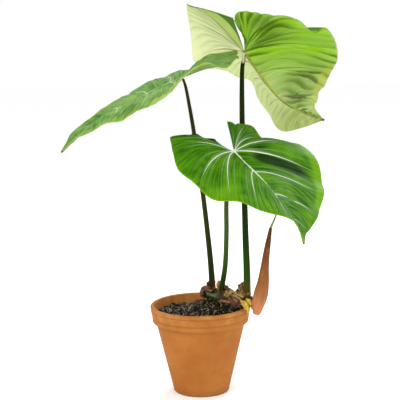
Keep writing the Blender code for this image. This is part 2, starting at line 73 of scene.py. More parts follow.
camera_data = bpy.data.cameras.new("camera")
camera_data.sensor_fit = "HORIZONTAL"
camera_data.sensor_width = SENSOR
camera_data.lens = SENSOR * FOCAL_PIXELS / FRAME_PIXELS
camera = bpy.data.objects.new("camera", camera_data)
bpy.context.scene.collection.objects.link(camera)
camera.location = AXIS + np.array(CAMERA_PLACE) * MM
pitch = Matrix.Rotation(math.radians(90 - CAMERA_PITCH), 4, "X")
roll = Matrix.Rotation(math.radians(CAMERA_ROLL), 4, "Z")
camera.rotation_euler = (pitch @ roll).to_euler()
bpy.context.scene.camera = camera
print("lens", round(camera_data.lens, 1), "mm")

# %% [markdown]
# The floor is one pale sheet, and the light is soft: a white world, a large lamp in front at the left,
# a weaker one at the right, and one behind, which lights the leaves through their thickness. A plant
# lit by one hard lamp would lose the pale veins in glare.


# %% Floor and light
LAMPS = {
    "key": ((-1.3, -1.5, 1.7), (0.0, 0.0, 0.3), 26.0, 0.9),
    "fill": ((1.6, -1.2, 0.9), (0.0, 0.0, 0.3), 9.0, 1.4),
    "back": ((0.7, 1.5, 1.5), (0.0, 0.0, 0.35), 24.0, 1.0),
}
FLOOR_WHITE = 0.98
FLOOR_SIZE = 12.0


def add_lamp(name, place, target, power, size):
    """A square area lamp at a place in metres, turned to look at the target."""
    data = bpy.data.lights.new(name, "AREA")
    data.energy = power
    data.size = size
    lamp = bpy.data.objects.new(name, data)
    bpy.context.scene.collection.objects.link(lamp)
    lamp.location = place
    lamp.rotation_euler = (Vector(place) - Vector(target)).to_track_quat("Z", "Y").to_euler()


world = bpy.data.worlds.new("studio")
bpy.context.scene.world = world
world.use_nodes = True
world.node_tree.nodes["Background"].inputs["Color"].default_value = (1.0, 1.0, 1.0, 1.0)
world.node_tree.nodes["Background"].inputs["Strength"].default_value = 1.0
bpy.context.scene.view_settings.view_transform = "Standard"
for lamp_name, lamp_numbers in LAMPS.items():
    add_lamp(lamp_name, *lamp_numbers)

bpy.ops.mesh.primitive_plane_add(size=FLOOR_SIZE, location=(0.0, 0.0, 0.0))
floor = bpy.context.object
floor.name = "floor"
floor_finish = bpy.data.materials.new("floor")
floor_finish.use_nodes = True
floor_shader = floor_finish.node_tree.nodes["Principled BSDF"]
floor_shader.inputs["Base Color"].default_value = (FLOOR_WHITE, FLOOR_WHITE, FLOOR_WHITE, 1.0)
floor_shader.inputs["Roughness"].default_value = 0.9
floor.data.materials.append(floor_finish)
print(len(LAMPS), "lamps over a floor of", FLOOR_SIZE, "m")

# %% [markdown]
# A photograph shows a colour after light has fallen on it, but a finish needs the surface's own colour.
# Picking by eye would do for one piece. Here one function works back from the seen colour and the
# light's strength, so that every colour below can be written as it looks on screen.

# %% Colours
LIGHT_GAIN = 1.35
SHADE_GAIN = 0.85
MOST_WHITE = 0.96


def srgb(red, green, blue, light=LIGHT_GAIN):
    """A colour as seen on screen, 0 to 255, as the surface's own linear colour.

    The seen colour is turned to linear light, then divided by the light that falls on a surface here.
    No part goes above what the whitest real surface gives back.
    """
    seen = np.array([red, green, blue]) / 255.0
    linear = np.where(seen <= 0.04045, seen / 12.92, ((seen + 0.055) / 1.055) ** 2.4) / light
    return (*[min(float(value), MOST_WHITE) for value in linear], 1.0)


def shade(red, green, blue):
    """The same for a surface that faces down and gets less of the light."""
    return srgb(red, green, blue, SHADE_GAIN)


print("mid grey seen on screen is a surface of", round(srgb(128, 128, 128)[0], 3))

# %% [markdown]
# Shader maths reads best as plain expressions. One class wraps a node's output, so that adding two
# wrapped values adds a Math node. Linking nodes by hand gives the same net, but hides the formula.


# %% Shader maths
class Value:
    """One output of a node. Operators on it add Math nodes to the same finish."""

    def __init__(self, finish, socket):
        self.finish = finish
        self.socket = socket

    def math(self, operation, *others):
        """A Math node with this value first."""
        inputs = dict(enumerate([self, *others]))
        return self.finish.node("ShaderNodeMath", {"operation": operation}, inputs)

    def __add__(self, other):
        return self.math("ADD", other)

    def __sub__(self, other):
        return self.math("SUBTRACT", other)

    def __mul__(self, other):
        return self.math("MULTIPLY", other)

    def __truediv__(self, other):
        return self.math("DIVIDE", other)

    def __pow__(self, other):
        return self.math("POWER", other)

    def __rsub__(self, other):
        return (self * -1.0) + other

    __radd__ = __add__
    __rmul__ = __mul__

    def step(self, low, high):
        """0 below low, 1 above high, smooth between. With low above high it falls instead of rising."""
        rising = low < high
        settings = {"interpolation_type": "SMOOTHSTEP"}
        inputs = {"Value": self, "From Min": min(low, high), "From Max": max(low, high),
                  "To Min": 0.0 if rising else 1.0, "To Max": 1.0 if rising else 0.0}
        return self.finish.node("ShaderNodeMapRange", settings, inputs)


print("values can be added, multiplied and stepped")

# %% [markdown]
# A finish is a material with one Principled shader. One method makes any node, and the others give
# names to what this plant needs: places, streaks, and colours laid over each other like coats of paint.
# A ready-made node group could do it too, but a reader would have to open it to see what it does.


# %% Finishes
class Finish:
    """A material with one Principled shader, and the nodes that feed it."""

    def __init__(self, name, roughness=0.5, **constants):
        self.material = bpy.data.materials.new(name)
        self.material.use_nodes = True
        self.tree = self.material.node_tree
        self.shader = self.tree.nodes["Principled BSDF"]
        self.output = self.tree.nodes["Material Output"]
        self.shader.inputs["Roughness"].default_value = roughness
        for socket, value in constants.items():
            self.shader.inputs[socket.replace("_", " ")].default_value = value

    def node(self, kind, settings=None, inputs=None, output=0):
        """Make a node, set what it does, then give each input a value or a link."""
        made = self.tree.nodes.new(kind)
        for name, value in (settings or {}).items():
            setattr(made, name, value)
        for key, value in (inputs or {}).items():
            socket = made.inputs[key]
            if isinstance(value, Value):
                self.tree.links.new(value.socket, socket)
            else:
                socket.default_value = value
        return Value(self, made.outputs[output])

    def stretch(self, where, scale):
        """Coordinates times a scale per axis."""
        return self.node("ShaderNodeMapping", inputs={"Vector": where, "Scale": scale})

    def place(self, scale=(1.0, 1.0, 1.0)):
        """Object coordinates in millimetres, times a scale per axis."""
        where = self.node("ShaderNodeTexCoord", output="Object")
        return self.stretch(where, tuple(1000.0 * part for part in scale))

    def height(self):
        """Height above the ground in millimetres."""
        where = self.node("ShaderNodeTexCoord", output="Object")
        return self.node("ShaderNodeSeparateXYZ", inputs={0: where}, output="Z") * 1000.0

    def uv(self):
        """The piece's own two parameters as coordinates."""
        return self.node("ShaderNodeUVMap", {"uv_map": "UVMap"})

    def own(self, axis):
        """One of the piece's own two parameters: X round or across it, Y along it."""
        return self.node("ShaderNodeSeparateXYZ", inputs={0: self.uv()}, output=axis)

    def noise(self, where, scale, detail=3.0, rough=0.55):
        """Noise from 0 to 1. scale counts features per unit of the coordinates."""
        inputs = {"Vector": where, "Scale": scale, "Detail": detail, "Roughness": rough}
        return self.node("ShaderNodeTexNoise", inputs=inputs)

    def streaks(self, across, along, detail=3.0, rough=0.55):
        """Noise that follows the piece: so many features across it, and so many along it."""
        return self.noise(self.stretch(self.uv(), (across, along, 1.0)), 1.0, detail, rough)

    def cells(self, where, scale):
        """Distance to the nearest of many scattered points, which makes a pattern of cells."""
        return self.node("ShaderNodeTexVoronoi", inputs={"Vector": where, "Scale": scale})

    def attribute(self, name):
        """A number stored on the mesh's points."""
        return self.node("ShaderNodeAttribute", {"attribute_name": name}, output="Fac")

    def mix(self, factor, first, second):
        """A colour between two, which may be colours or wrapped outputs."""
        made = self.tree.nodes.new("ShaderNodeMix")
        made.data_type = "RGBA"
        for key, value in ((0, factor), (6, first), (7, second)):
            if isinstance(value, Value):
                self.tree.links.new(value.socket, made.inputs[key])
            else:
                made.inputs[key].default_value = value
        return Value(self, made.outputs[2])

    def layers(self, colour, *coats):
        """A colour with coats laid over it in turn. A coat is a strength from 0 to 1 and a colour."""
        for strength, coat in coats:
            colour = self.mix(strength, colour, coat)
        return colour

    def feed(self, **links):
        """Link wrapped values to the shader's own sockets."""
        for name, value in links.items():
            self.tree.links.new(value.socket, self.shader.inputs[name.replace("_", " ")])

    def bump(self, height, distance, strength=1.0):
        """Tilt the surface by a height, whose full range stands for the distance in millimetres."""
        inputs = {"Height": height, "Distance": distance * MM, "Strength": strength}
        self.feed(Normal=self.node("ShaderNodeBump", inputs=inputs))

    def glow_through(self, colour, share):
        """Let light through: a share of the surface is a Translucent shader in the given colour."""
        back = self.node("ShaderNodeBsdfTranslucent", inputs={"Color": colour})
        both = self.tree.nodes.new("ShaderNodeMixShader")
        both.inputs[0].default_value = share
        self.tree.links.new(self.shader.outputs[0], both.inputs[1])
        self.tree.links.new(back.socket, both.inputs[2])
        self.tree.links.new(both.outputs[0], self.output.inputs["Surface"])


print("finishes ready")

# %% [markdown]
# Every piece is a grid of points. A grid's faces follow from its size alone, so one helper makes the
# mesh, merges the seams and poles, stores what the finish needs, and hands the piece to the frame.


# %% Mesh from grids
MERGE = 0.02


def grid_faces(rows, columns, flip=False):
    """Corners of each quad of a grid, counted along its rows."""
    across = np.arange(columns - 1)
    down = np.arange(rows - 1)
    a = (down[:, None] * columns + across[None, :]).ravel()
    quads = np.stack([a, a + 1, a + 1 + columns, a + columns], axis=1)
    return quads[:, ::-1] if flip else quads


def grid_uv(across, along):
    """The UV map of a grid: one parameter across its rows, the other along them."""
    return np.stack(np.broadcast_arrays(across[None, :], along[:, None]), axis=-1)


def join_grids(parts):
    """Stack several (points, faces, uv) parts into one set of arrays."""
    starts = np.cumsum([0] + [len(points) for points, _, _ in parts[:-1]])
    points = np.concatenate([part[0] for part in parts])
    faces = np.concatenate([part[1] + start for part, start in zip(parts, starts)])
    uv = np.concatenate([part[2] for part in parts])
    return points, faces, uv


def make_mesh(name, points, faces, uv, finishes, values, indices, merge):
    """A smooth mesh from points in millimetres round the pot's axis, with its doubles merged."""
    mesh = bpy.data.meshes.new(name)
    mesh.from_pydata((points * MM + AXIS).tolist(), [], faces.tolist())
    layer = mesh.uv_layers.new(name="UVMap")
    corner = np.zeros(len(mesh.loops), dtype=np.int32)
    mesh.loops.foreach_get("vertex_index", corner)
    layer.data.foreach_set("uv", uv[corner].astype(np.float32).ravel())
    for key, numbers in (values or {}).items():
        mesh.attributes.new(key, "FLOAT", "POINT").data.foreach_set("value", numbers.astype(np.float32))
    for finish in finishes:
        mesh.materials.append(finish.material)
    if indices is not None:
        mesh.polygons.foreach_set("material_index", indices.astype(np.int32))
    shape = bmesh.new()
    shape.from_mesh(mesh)
    bmesh.ops.remove_doubles(shape, verts=shape.verts, dist=merge * MM)
    bmesh.ops.dissolve_degenerate(shape, edges=shape.edges, dist=0.2 * merge * MM)
    shape.to_mesh(mesh)
    shape.free()
    mesh.shade_smooth()
    return mesh


def add_piece(name, points, faces, uv, finishes, node, slot, values=None, indices=None, merge=MERGE):
    """Make a piece and give it to the frame.

    node is the CAD node that it stands for, or None. values are numbers per point for the finish.
    indices choose a finish for each face.
    """
    mesh = make_mesh(name, points, faces, uv, finishes, values, indices, merge)
    piece = bpy.data.objects.new(name, mesh)
    bpy.context.scene.collection.objects.link(piece)
    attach(piece, "root")
    if node:
        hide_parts(node)
    print(name, len(mesh.polygons), "faces")


print("mesh helpers ready")

# %% [markdown]
# The pot is fired clay, turned on a wheel. A profile spun round the axis gives it, as for any turned
# thing, and the spin is never quite true: the wall wanders by a few tenths of a millimetre, and a
# finger leaves faint rings and grooves. The Spin tool would give the same, but perfectly round.

# %% Pot profile
WALL = 5.5
FLOOR = 6.0
BAND_HEIGHT = 23.5
BAND_FOOT_RADIUS = 67.0
BAND_ROUND = 1.6
STEP_ROUND = 1.2
BODY_TOP_RADIUS = 61.8
BASE_RADIUS = 39.5
DRAIN_RADIUS = 6.5
LIP_ROUND = 2.2
FOOT_ROUND = 2.5
FLOOR_ROUND = 3.0
PROFILE_STEP = 1.3


def arc(centre, radius, first, last, steps):
    """Points of an arc in the profile's plane, between two angles in degrees."""
    angles = np.radians(np.linspace(first, last, steps))
    return np.stack([centre[0] + radius * np.cos(angles), centre[1] + radius * np.sin(angles)], axis=1)


def inner_radius(height):
    """The pot's inner radius: a straight taper from the floor to the lip."""
    share = (height - FLOOR) / (POT_HEIGHT - FLOOR)
    return BASE_RADIUS - WALL + (RIM_RADIUS - BASE_RADIUS) * share


def fill_profile(points, step):
    """Add points along each straight run of a profile so that none is longer than the step."""
    filled = []
    for start, end in zip(points, np.roll(points, -1, axis=0)):
        count = max(1, int(np.ceil(np.linalg.norm(end - start) / step)))
        filled.append(start + (end - start) * np.linspace(0, 1, count, endpoint=False)[:, None])
    return np.concatenate(filled)


band_foot = POT_HEIGHT - BAND_HEIGHT
lip_level = POT_HEIGHT - LIP_ROUND
floor_level = FLOOR + FLOOR_ROUND
profile = fill_profile(np.concatenate([
    arc((RIM_RADIUS - LIP_ROUND, lip_level), LIP_ROUND, 90, 0, 9),
    arc((BAND_FOOT_RADIUS - BAND_ROUND, band_foot + BAND_ROUND), BAND_ROUND, 0, -90, 7),
    arc((BODY_TOP_RADIUS + STEP_ROUND + 0.2, band_foot - STEP_ROUND), STEP_ROUND, 90, 180, 6),
    arc((BASE_RADIUS - FOOT_ROUND, FOOT_ROUND), FOOT_ROUND, 0, -90, 8),
    np.array([[DRAIN_RADIUS, 0.0], [DRAIN_RADIUS, FLOOR]]),
    arc((inner_radius(floor_level) - FLOOR_ROUND, floor_level), FLOOR_ROUND, -90, 0, 5),
    arc((RIM_RADIUS - WALL + LIP_ROUND, lip_level), LIP_ROUND, 180, 90, 9),
]), PROFILE_STEP)
print("pot profile of", len(profile), "points")

# %% [markdown]
# Spinning the profile is one product of arrays: each profile point's radius times the cosine and sine
# of every angle. The wander, the wheel's rings and three cut grooves are added to the radius first.

# %% Pot shape
POT_COLUMNS = 220
GROOVES = ((117.2, 0.45, 0.7), (107.0, 0.35, 0.8), (101.6, -0.30, 0.8))
POT_INSET = 0.35

pot_angle = np.linspace(0, 2 * np.pi, POT_COLUMNS + 1)
radius, level = profile.T
wander = 0.22 * np.sin(2 * pot_angle + 1.0) + 0.12 * np.sin(5 * pot_angle + 2.0)
rings = 0.05 * np.sin(level * 0.9) + 0.04 * np.sin(level * 2.3)
outside = radius > inner_radius(level) + 0.6 * WALL
for groove_level, depth, width in GROOVES:
    rings = rings - outside * depth * np.exp(-((level - groove_level) / width) ** 2)
spun = radius[:, None] - POT_INSET + wander[None, :] * level[:, None] / POT_HEIGHT + rings[:, None]
pot_grid = np.stack([spun * np.cos(pot_angle), spun * np.sin(pot_angle),
                     np.repeat(level[:, None], POT_COLUMNS + 1, axis=1)], axis=-1)
pot_grid = np.concatenate([pot_grid, pot_grid[:1]])
pot_outside = np.repeat(np.append(outside, outside[0]), POT_COLUMNS + 1)
pot_uv = grid_uv(pot_angle / (2 * np.pi), np.linspace(0, 1, len(pot_grid)))
print("pot radius from", spun.min().round(1), "to", spun.max().round(1), "mm")

# %% [markdown]
# Terracotta is matt, speckled and cloudy, and paler near the rim where salts have dried. A photo of
# clay could be wrapped round, but its seam would show. Noise read at each point's own place has none.

# %% Terracotta
clay = Finish("terracotta", roughness=0.82, Specular_IOR_Level=0.3)
where = clay.place()
cloud = clay.noise(where, 0.022, 4.0, 0.6)
streak = clay.noise(clay.place((0.6, 0.6, 6.0)), 0.05, 3.0)
grain = clay.noise(where, 1.1, 2.0, 0.7)
speck = clay.cells(where, 0.42).step(0.16, 0.05)
pale_speck = clay.cells(where, 0.27).step(0.14, 0.03)
clay_level = clay.height()
bloom = clay_level.step(96.0, 122.0) * clay.noise(where, 0.09, 4.0).step(0.35, 0.75) * 0.55
# Painted shade: the two cut grooves on the outside are painted darker, as shade in their hollows.
groove = sum((clay_level - place).math("ABSOLUTE").step(1.6 * width, 0.2) for place, _, width in GROOVES[:2])
groove = (groove * clay.attribute("outside")).math("MINIMUM", 1.0)
clay.feed(Roughness=0.74 + grain * 0.2, Base_Color=clay.layers(
    srgb(184, 108, 36),
    (cloud.step(0.3, 0.7), srgb(200, 126, 50)),
    (streak.step(0.35, 0.75) * 0.2, srgb(166, 90, 30)),
    (bloom, srgb(222, 156, 84)),
    (clay_level.step(16.0, 0.0) * 0.35, srgb(140, 80, 40)),
    (speck * 0.35, srgb(120, 66, 34)),
    (pale_speck * 0.4, srgb(236, 186, 132)),
    (grain.step(0.2, 0.9) * 0.18, srgb(146, 84, 42)),
    (groove * 0.45, srgb(120, 66, 30)),
))
clay.bump(grain * 0.7 + streak * 0.25 - speck * 0.5, 0.4, 0.7)
add_piece("clay_pot", pot_grid.reshape(-1, 3), grid_faces(len(pot_grid), POT_COLUMNS + 1, flip=True),
          pot_uv.reshape(-1, 2), [clay], "pot", "terracotta", {"outside": pot_outside})

# %% [markdown]
# Potting mix is bark, peat and grit, wet and almost black. Its top could be sculpted, but then the
# chips would not know where to lie. Here it is a height worked out from the place: a mound by the
# stem, a dip at the left, and lumps at three sizes, and the chips ask the same formula for theirs.


# %% Soil height
SOIL_EDGE_HEIGHT = 110.0
MOUND = (14.0, 8.0, 30.0, 11.0)
DIP = (-34.0, -22.0, 15.0, -6.0)
LUMP_COUNT = 110
LUMP_HEIGHT = 5.5
LUMP_SEED = 7


def cell_lumps(x, y, cell, seed):
    """Rounded lumps about one cell wide: 1 at each cell's own random point, falling to 0 half way out.

    The nearest point is looked for in the nine cells round each place.
    """
    column = np.floor(x / cell)
    row = np.floor(y / cell)
    best = np.full_like(x, 9.0)
    tall = np.zeros_like(x)
    for i in (-1, 0, 1):
        for j in (-1, 0, 1):
            a = column + i
            b = row + j
            first = np.modf(np.abs(np.sin(a * 127.1 + b * 311.7 + seed) * 43758.5453))[0]
            second = np.modf(np.abs(np.sin(a * 269.5 + b * 183.3 + seed) * 24634.6345))[0]
            away = np.hypot(x / cell - a - first, y / cell - b - second)
            nearer = away < best
            best = np.where(nearer, away, best)
            tall = np.where(nearer, 0.4 + 0.6 * second, tall)
    return np.sqrt(np.clip(1 - (best / 0.62) ** 2, 0, None)) * tall


def soil_height(x, y):
    """Height of the soil's top: level plus mound plus dip plus seeded lumps, as in the solid model.

    Two finer sizes of lump, which the solid model doesn't carry, are added at the end.
    """
    height = np.full_like(x, SOIL_EDGE_HEIGHT)
    for centre_x, centre_y, spread, rise in (MOUND, DIP):
        height = height + rise * np.exp(-((x - centre_x) ** 2 + (y - centre_y) ** 2) / spread ** 2)
    draw = np.random.default_rng(LUMP_SEED)
    reach = RIM_RADIUS * np.sqrt(draw.random(LUMP_COUNT))
    spot = 2 * np.pi * draw.random(LUMP_COUNT)
    size = draw.uniform(5.0, 9.5, LUMP_COUNT)
    tall = draw.uniform(0.35, 1.0, LUMP_COUNT)
    away = np.hypot(x[..., None] - reach * np.cos(spot), y[..., None] - reach * np.sin(spot))
    lumps = (np.sqrt(np.clip(1 - (away / size) ** 2, 0, None)) * tall).max(axis=-1)
    fine = 2.4 * cell_lumps(x, y, 4.6, 1.0) + 1.2 * cell_lumps(x, y, 2.1, 5.0)
    return height + LUMP_HEIGHT * (lumps - 0.4) + fine - 1.2


print("soil at the axis", soil_height(np.zeros(1), np.zeros(1)).round(1), "mm up")

# %% [markdown]
# The soil fills the pot down to its floor. Its grid runs from the middle of the floor, up the pot's
# wall, and then in over the top in rings, so that one closed surface holds the whole body.

# %% Soil surface
SOIL_RINGS = 130
SOIL_COLUMNS = 300
SOIL_CLEARANCE = 0.4

soil_angle = np.linspace(0, 2 * np.pi, SOIL_COLUMNS + 1)
soil_edge = inner_radius(SOIL_EDGE_HEIGHT - 3.0) - SOIL_CLEARANCE
radius = soil_edge * np.linspace(1, 0, SOIL_RINGS)[:, None]
x, y = radius * np.cos(soil_angle), radius * np.sin(soil_angle)
top = np.stack([x, y, soil_height(x, y)], axis=-1)
low_heights = np.array([FLOOR + SOIL_CLEARANCE, FLOOR + SOIL_CLEARANCE, FLOOR_ROUND + FLOOR + SOIL_CLEARANCE,
                        60.0, SOIL_EDGE_HEIGHT - 8.0])
low_radii = inner_radius(low_heights) - SOIL_CLEARANCE
low_radii[:2] = (0.0, low_radii[1] - FLOOR_ROUND)
low = np.stack([low_radii[:, None] * np.cos(soil_angle), low_radii[:, None] * np.sin(soil_angle),
                np.repeat(low_heights[:, None], SOIL_COLUMNS + 1, axis=1)], axis=-1)
soil_grid = np.concatenate([low, top])
soil_uv = grid_uv(soil_angle / (2 * np.pi), np.linspace(0, 1, len(soil_grid)))
print("soil from", soil_grid[..., 2].min().round(1), "to", soil_grid[..., 2].max().round(1), "mm")

# %% [markdown]
# Wet peat is nearly black, with browner crumbs and a few pale grains. Two noises and a cell pattern
# give them, and the crumbs also tilt the surface, so that a few catch the light.

# %% Soil finish
peat = Finish("potting_mix", roughness=0.8, Specular_IOR_Level=0.15)
where = peat.place()
crumb = peat.noise(where, 0.55, 4.0, 0.7)
patch = peat.noise(where, 0.13, 3.0)
peat.feed(Roughness=0.95 - crumb * 0.45, Base_Color=peat.layers(
    srgb(8, 6, 5),
    (crumb.step(0.35, 0.75), srgb(50, 36, 26)),
    (patch.step(0.5, 0.75) * 0.5, srgb(70, 46, 32)),
    (peat.cells(where, 0.5).step(0.15, 0.05) * 0.5, srgb(150, 136, 118)),
))
peat.bump(crumb, 1.2, 0.9)
add_piece("potting_mix", soil_grid.reshape(-1, 3), grid_faces(len(soil_grid), SOIL_COLUMNS + 1),
          soil_uv.reshape(-1, 2), [peat], "soil", "soil", merge=0.01)

# %% [markdown]
# Loose bark and grit lie on the mix. Each chip is a squashed, dented ball with its own turn and size.
# A particle system could scatter a few kinds of chip, but the library wants plain meshes. All chips
# are made in one array instead, each with its own shape and a few dozen faces.


# %% Loose chips
CHIP_ROWS = 7
CHIP_COLUMNS = 9


def copy_faces(rows, columns, count):
    """The faces of many equal grids whose points follow each other."""
    starts = np.arange(count) * rows * columns
    return (grid_faces(rows, columns)[None] + starts[:, None, None]).reshape(-1, 4)


def turn_matrices(turns):
    """Rotation matrices for turns about X, then Y, then Z, one per row."""
    cx, cy, cz = np.cos(turns).T
    sx, sy, sz = np.sin(turns).T
    return np.stack([cy * cz, sx * sy * cz - cx * sz, cx * sy * cz + sx * sz,
                     cy * sz, sx * sy * sz + cx * cz, cx * sy * sz - sx * cz,
                     -sy, sx * cy, cx * cy], axis=-1).reshape(len(turns), 1, 1, 3, 3)


def chip_field(count, seed, size_low, size_high, flat, inside):
    """Many squashed, dented balls lying on the soil, as one grid each, in one array.

    A ball's point is its direction times a size per axis times one plus a dent, turned at random.
    """
    draw = np.random.default_rng(seed)
    tilt = np.linspace(-0.5 * np.pi, 0.5 * np.pi, CHIP_ROWS)[:, None]
    spin = np.linspace(0, 2 * np.pi, CHIP_COLUMNS)[None, :]
    ball = np.stack([np.cos(tilt) * np.cos(spin), np.cos(tilt) * np.sin(spin),
                     np.sin(tilt) + 0 * spin], axis=-1)
    ball = np.sign(ball) * np.abs(ball) ** 0.75
    size = draw.uniform(size_low, size_high, (count, 1)) * draw.uniform(0.5, 1.0, (count, 3))
    size[:, 2] *= flat
    phase = draw.uniform(0, 6.28, (count, 1, 1, 3))
    dent = 1 + 0.22 * np.sin(2.6 * ball[None] + phase).sum(axis=-1, keepdims=True) / 3
    shaped = ball[None] * dent * size[:, None, None, :]
    turns = draw.uniform(-1, 1, (count, 3)) * np.array([0.6, 0.6, np.pi])
    shaped = (turn_matrices(turns) @ shaped[..., None])[..., 0]
    reach = inside * np.sqrt(draw.random(count))
    spot = draw.uniform(0, 2 * np.pi, count)
    x, y = reach * np.cos(spot), reach * np.sin(spot)
    place = np.stack([x, y, soil_height(x, y) + 0.25 * size[:, 2]], axis=-1)
    points = (shaped + place[:, None, None, :]).reshape(-1, 3)
    return points, copy_faces(CHIP_ROWS, CHIP_COLUMNS, count), np.zeros((len(points), 2))


def plain_mottle(name, dark, pale, roughness, scale):
    """A finish that wanders between two colours, with a crumbly bump."""
    made = Finish(name, roughness=roughness, Specular_IOR_Level=0.2)
    cloud = made.noise(made.place(), scale, 4.0, 0.65)
    made.feed(Base_Color=made.mix(cloud.step(0.35, 0.7), dark, pale), Roughness=roughness + 0.15 - cloud * 0.3)
    made.bump(cloud, 0.5, 0.8)
    return made


bark = plain_mottle("bark_chips", srgb(8, 5, 4), srgb(74, 52, 34), 0.5, 0.5)
grit = plain_mottle("pale_grit", srgb(150, 128, 92), srgb(236, 224, 190), 0.6, 0.9)
add_piece("bark_chips", *chip_field(520, 11, 1.4, 4.4, 0.5, soil_edge - 3.0), [bark], None, "soil")
add_piece("pale_grit", *chip_field(420, 12, 0.5, 1.5, 0.6, soil_edge - 3.0), [grit], None, "soil")

# %% [markdown]
# Dead roots and pale slivers of fibre lie between the chips. Each strand is a thin tube whose heading
# turns steadily as it goes, so it lies as an arc. Curve objects would do, but hundreds are slow.


# %% Strands on the soil
STRAND_ROWS = 16
STRAND_COLUMNS = 6


def strand_field(count, seed, inside, lengths, widths, lift):
    """Curled strands on the soil. A path is the running sum of small steps along a turning heading."""
    draw = np.random.default_rng(seed)
    share = np.linspace(0, 1, STRAND_ROWS)[None, :]
    length = draw.uniform(*lengths, (count, 1))
    heading = draw.uniform(0, 2 * np.pi, (count, 1)) + draw.uniform(-4.5, 4.5, (count, 1)) * share
    step = length / (STRAND_ROWS - 1)
    reach = inside * np.sqrt(draw.random((count, 1)))
    spot = draw.uniform(0, 2 * np.pi, (count, 1))
    x = reach * np.cos(spot) + np.cumsum(np.cos(heading) * step, axis=1)
    y = reach * np.sin(spot) + np.cumsum(np.sin(heading) * step, axis=1)
    limit = np.minimum(1, inside / np.maximum(np.hypot(x, y), 1e-6))
    x, y = x * limit, y * limit
    z = soil_height(x, y) + 0.6 + draw.uniform(*lift, (count, 1)) * np.sin(np.pi * share)
    path = np.stack([x, y, z], axis=-1)
    side = np.stack([-np.sin(heading), np.cos(heading), 0 * heading], axis=-1)
    up = np.array([0.0, 0.0, 1.0])
    angle = np.linspace(0, 2 * np.pi, STRAND_COLUMNS)
    thick = draw.uniform(*widths, (count, 1)) * np.sin(np.pi * np.clip(share, 0.04, 0.96)) ** 0.3
    ring = np.cos(angle)[None, None, :, None] * side[:, :, None] + np.sin(angle)[None, None, :, None] * up
    points = (path[:, :, None] + thick[..., None, None] * ring).reshape(-1, 3)
    return points, copy_faces(STRAND_ROWS, STRAND_COLUMNS, count), np.zeros((len(points), 2))


STRANDS = {
    "soil_strands": ((70, 31, soil_edge - 6.0, (8, 22), (0.35, 0.85), (0.5, 3.0)),
                     srgb(20, 15, 10), srgb(92, 70, 40)),
    "pale_slivers": ((260, 32, soil_edge - 5.0, (2.5, 7.0), (0.22, 0.5), (0.2, 1.4)),
                     srgb(140, 116, 78), srgb(240, 230, 200)),
}
for name, (numbers, dark, pale) in STRANDS.items():
    look = plain_mottle(name, dark, pale, 0.5, 0.7)
    add_piece(name, *strand_field(*numbers), [look], None, "soil", merge=0.001)

# %% [markdown]
# Stems, stalks and leaf margins are smooth curves through a few given points. The usual curve with
# handles would need two more at each point. This kind passes through its points without any, and
# makes no loops where they stand close together.


# %% Smooth curves
def unit(vectors):
    """Vectors of length 1 along the last axis."""
    return vectors / np.maximum(np.linalg.norm(vectors, axis=-1, keepdims=True), 1e-9)


def spline(points, count, power=0.5):
    """Read count points from a smooth curve through the given ones, evenly spaced in parameter.

    Each stretch blends the straight lines between its neighbours twice over.
    """
    pts = np.array(points, float)
    pts = np.array([2 * pts[0] - pts[1], *pts, 2 * pts[-1] - pts[-2]])
    steps = np.linalg.norm(np.diff(pts, axis=0), axis=1) ** power
    knots = np.concatenate([[0.0], np.cumsum(np.maximum(steps, 1e-6))])
    where = np.linspace(knots[1], knots[-2], count)
    cell = np.clip(np.searchsorted(knots, where, side="right") - 1, 1, len(pts) - 3)
    t0, t1, t2, t3 = (knots[cell + k][:, None] for k in (-1, 0, 1, 2))
    p0, p1, p2, p3 = (pts[cell + k] for k in (-1, 0, 1, 2))
    t = where[:, None]
    a1 = (t1 - t) / (t1 - t0) * p0 + (t - t0) / (t1 - t0) * p1
    a2 = (t2 - t) / (t2 - t1) * p1 + (t - t1) / (t2 - t1) * p2
    a3 = (t3 - t) / (t3 - t2) * p2 + (t - t2) / (t3 - t2) * p3
    b1 = (t2 - t) / (t2 - t0) * a1 + (t - t0) / (t2 - t0) * a2
    b2 = (t3 - t) / (t3 - t1) * a2 + (t - t1) / (t3 - t1) * a3
    return (t2 - t) / (t2 - t1) * b1 + (t - t1) / (t2 - t1) * b2


print("half way from (0, 0, 0) to (2, 0, 0):", spline([(0, 0, 0), (2, 0, 0)], 3)[1])

# %% [markdown]
# A stem, stalk or root is a tube along such a curve: a ring of points stands square to it at each step.
# A curve object with a bevel makes a tube too, but its ribs and joints could not follow a formula.

# %% Tubes
CAP_STEPS = 5
CAP_BULGE = 0.45


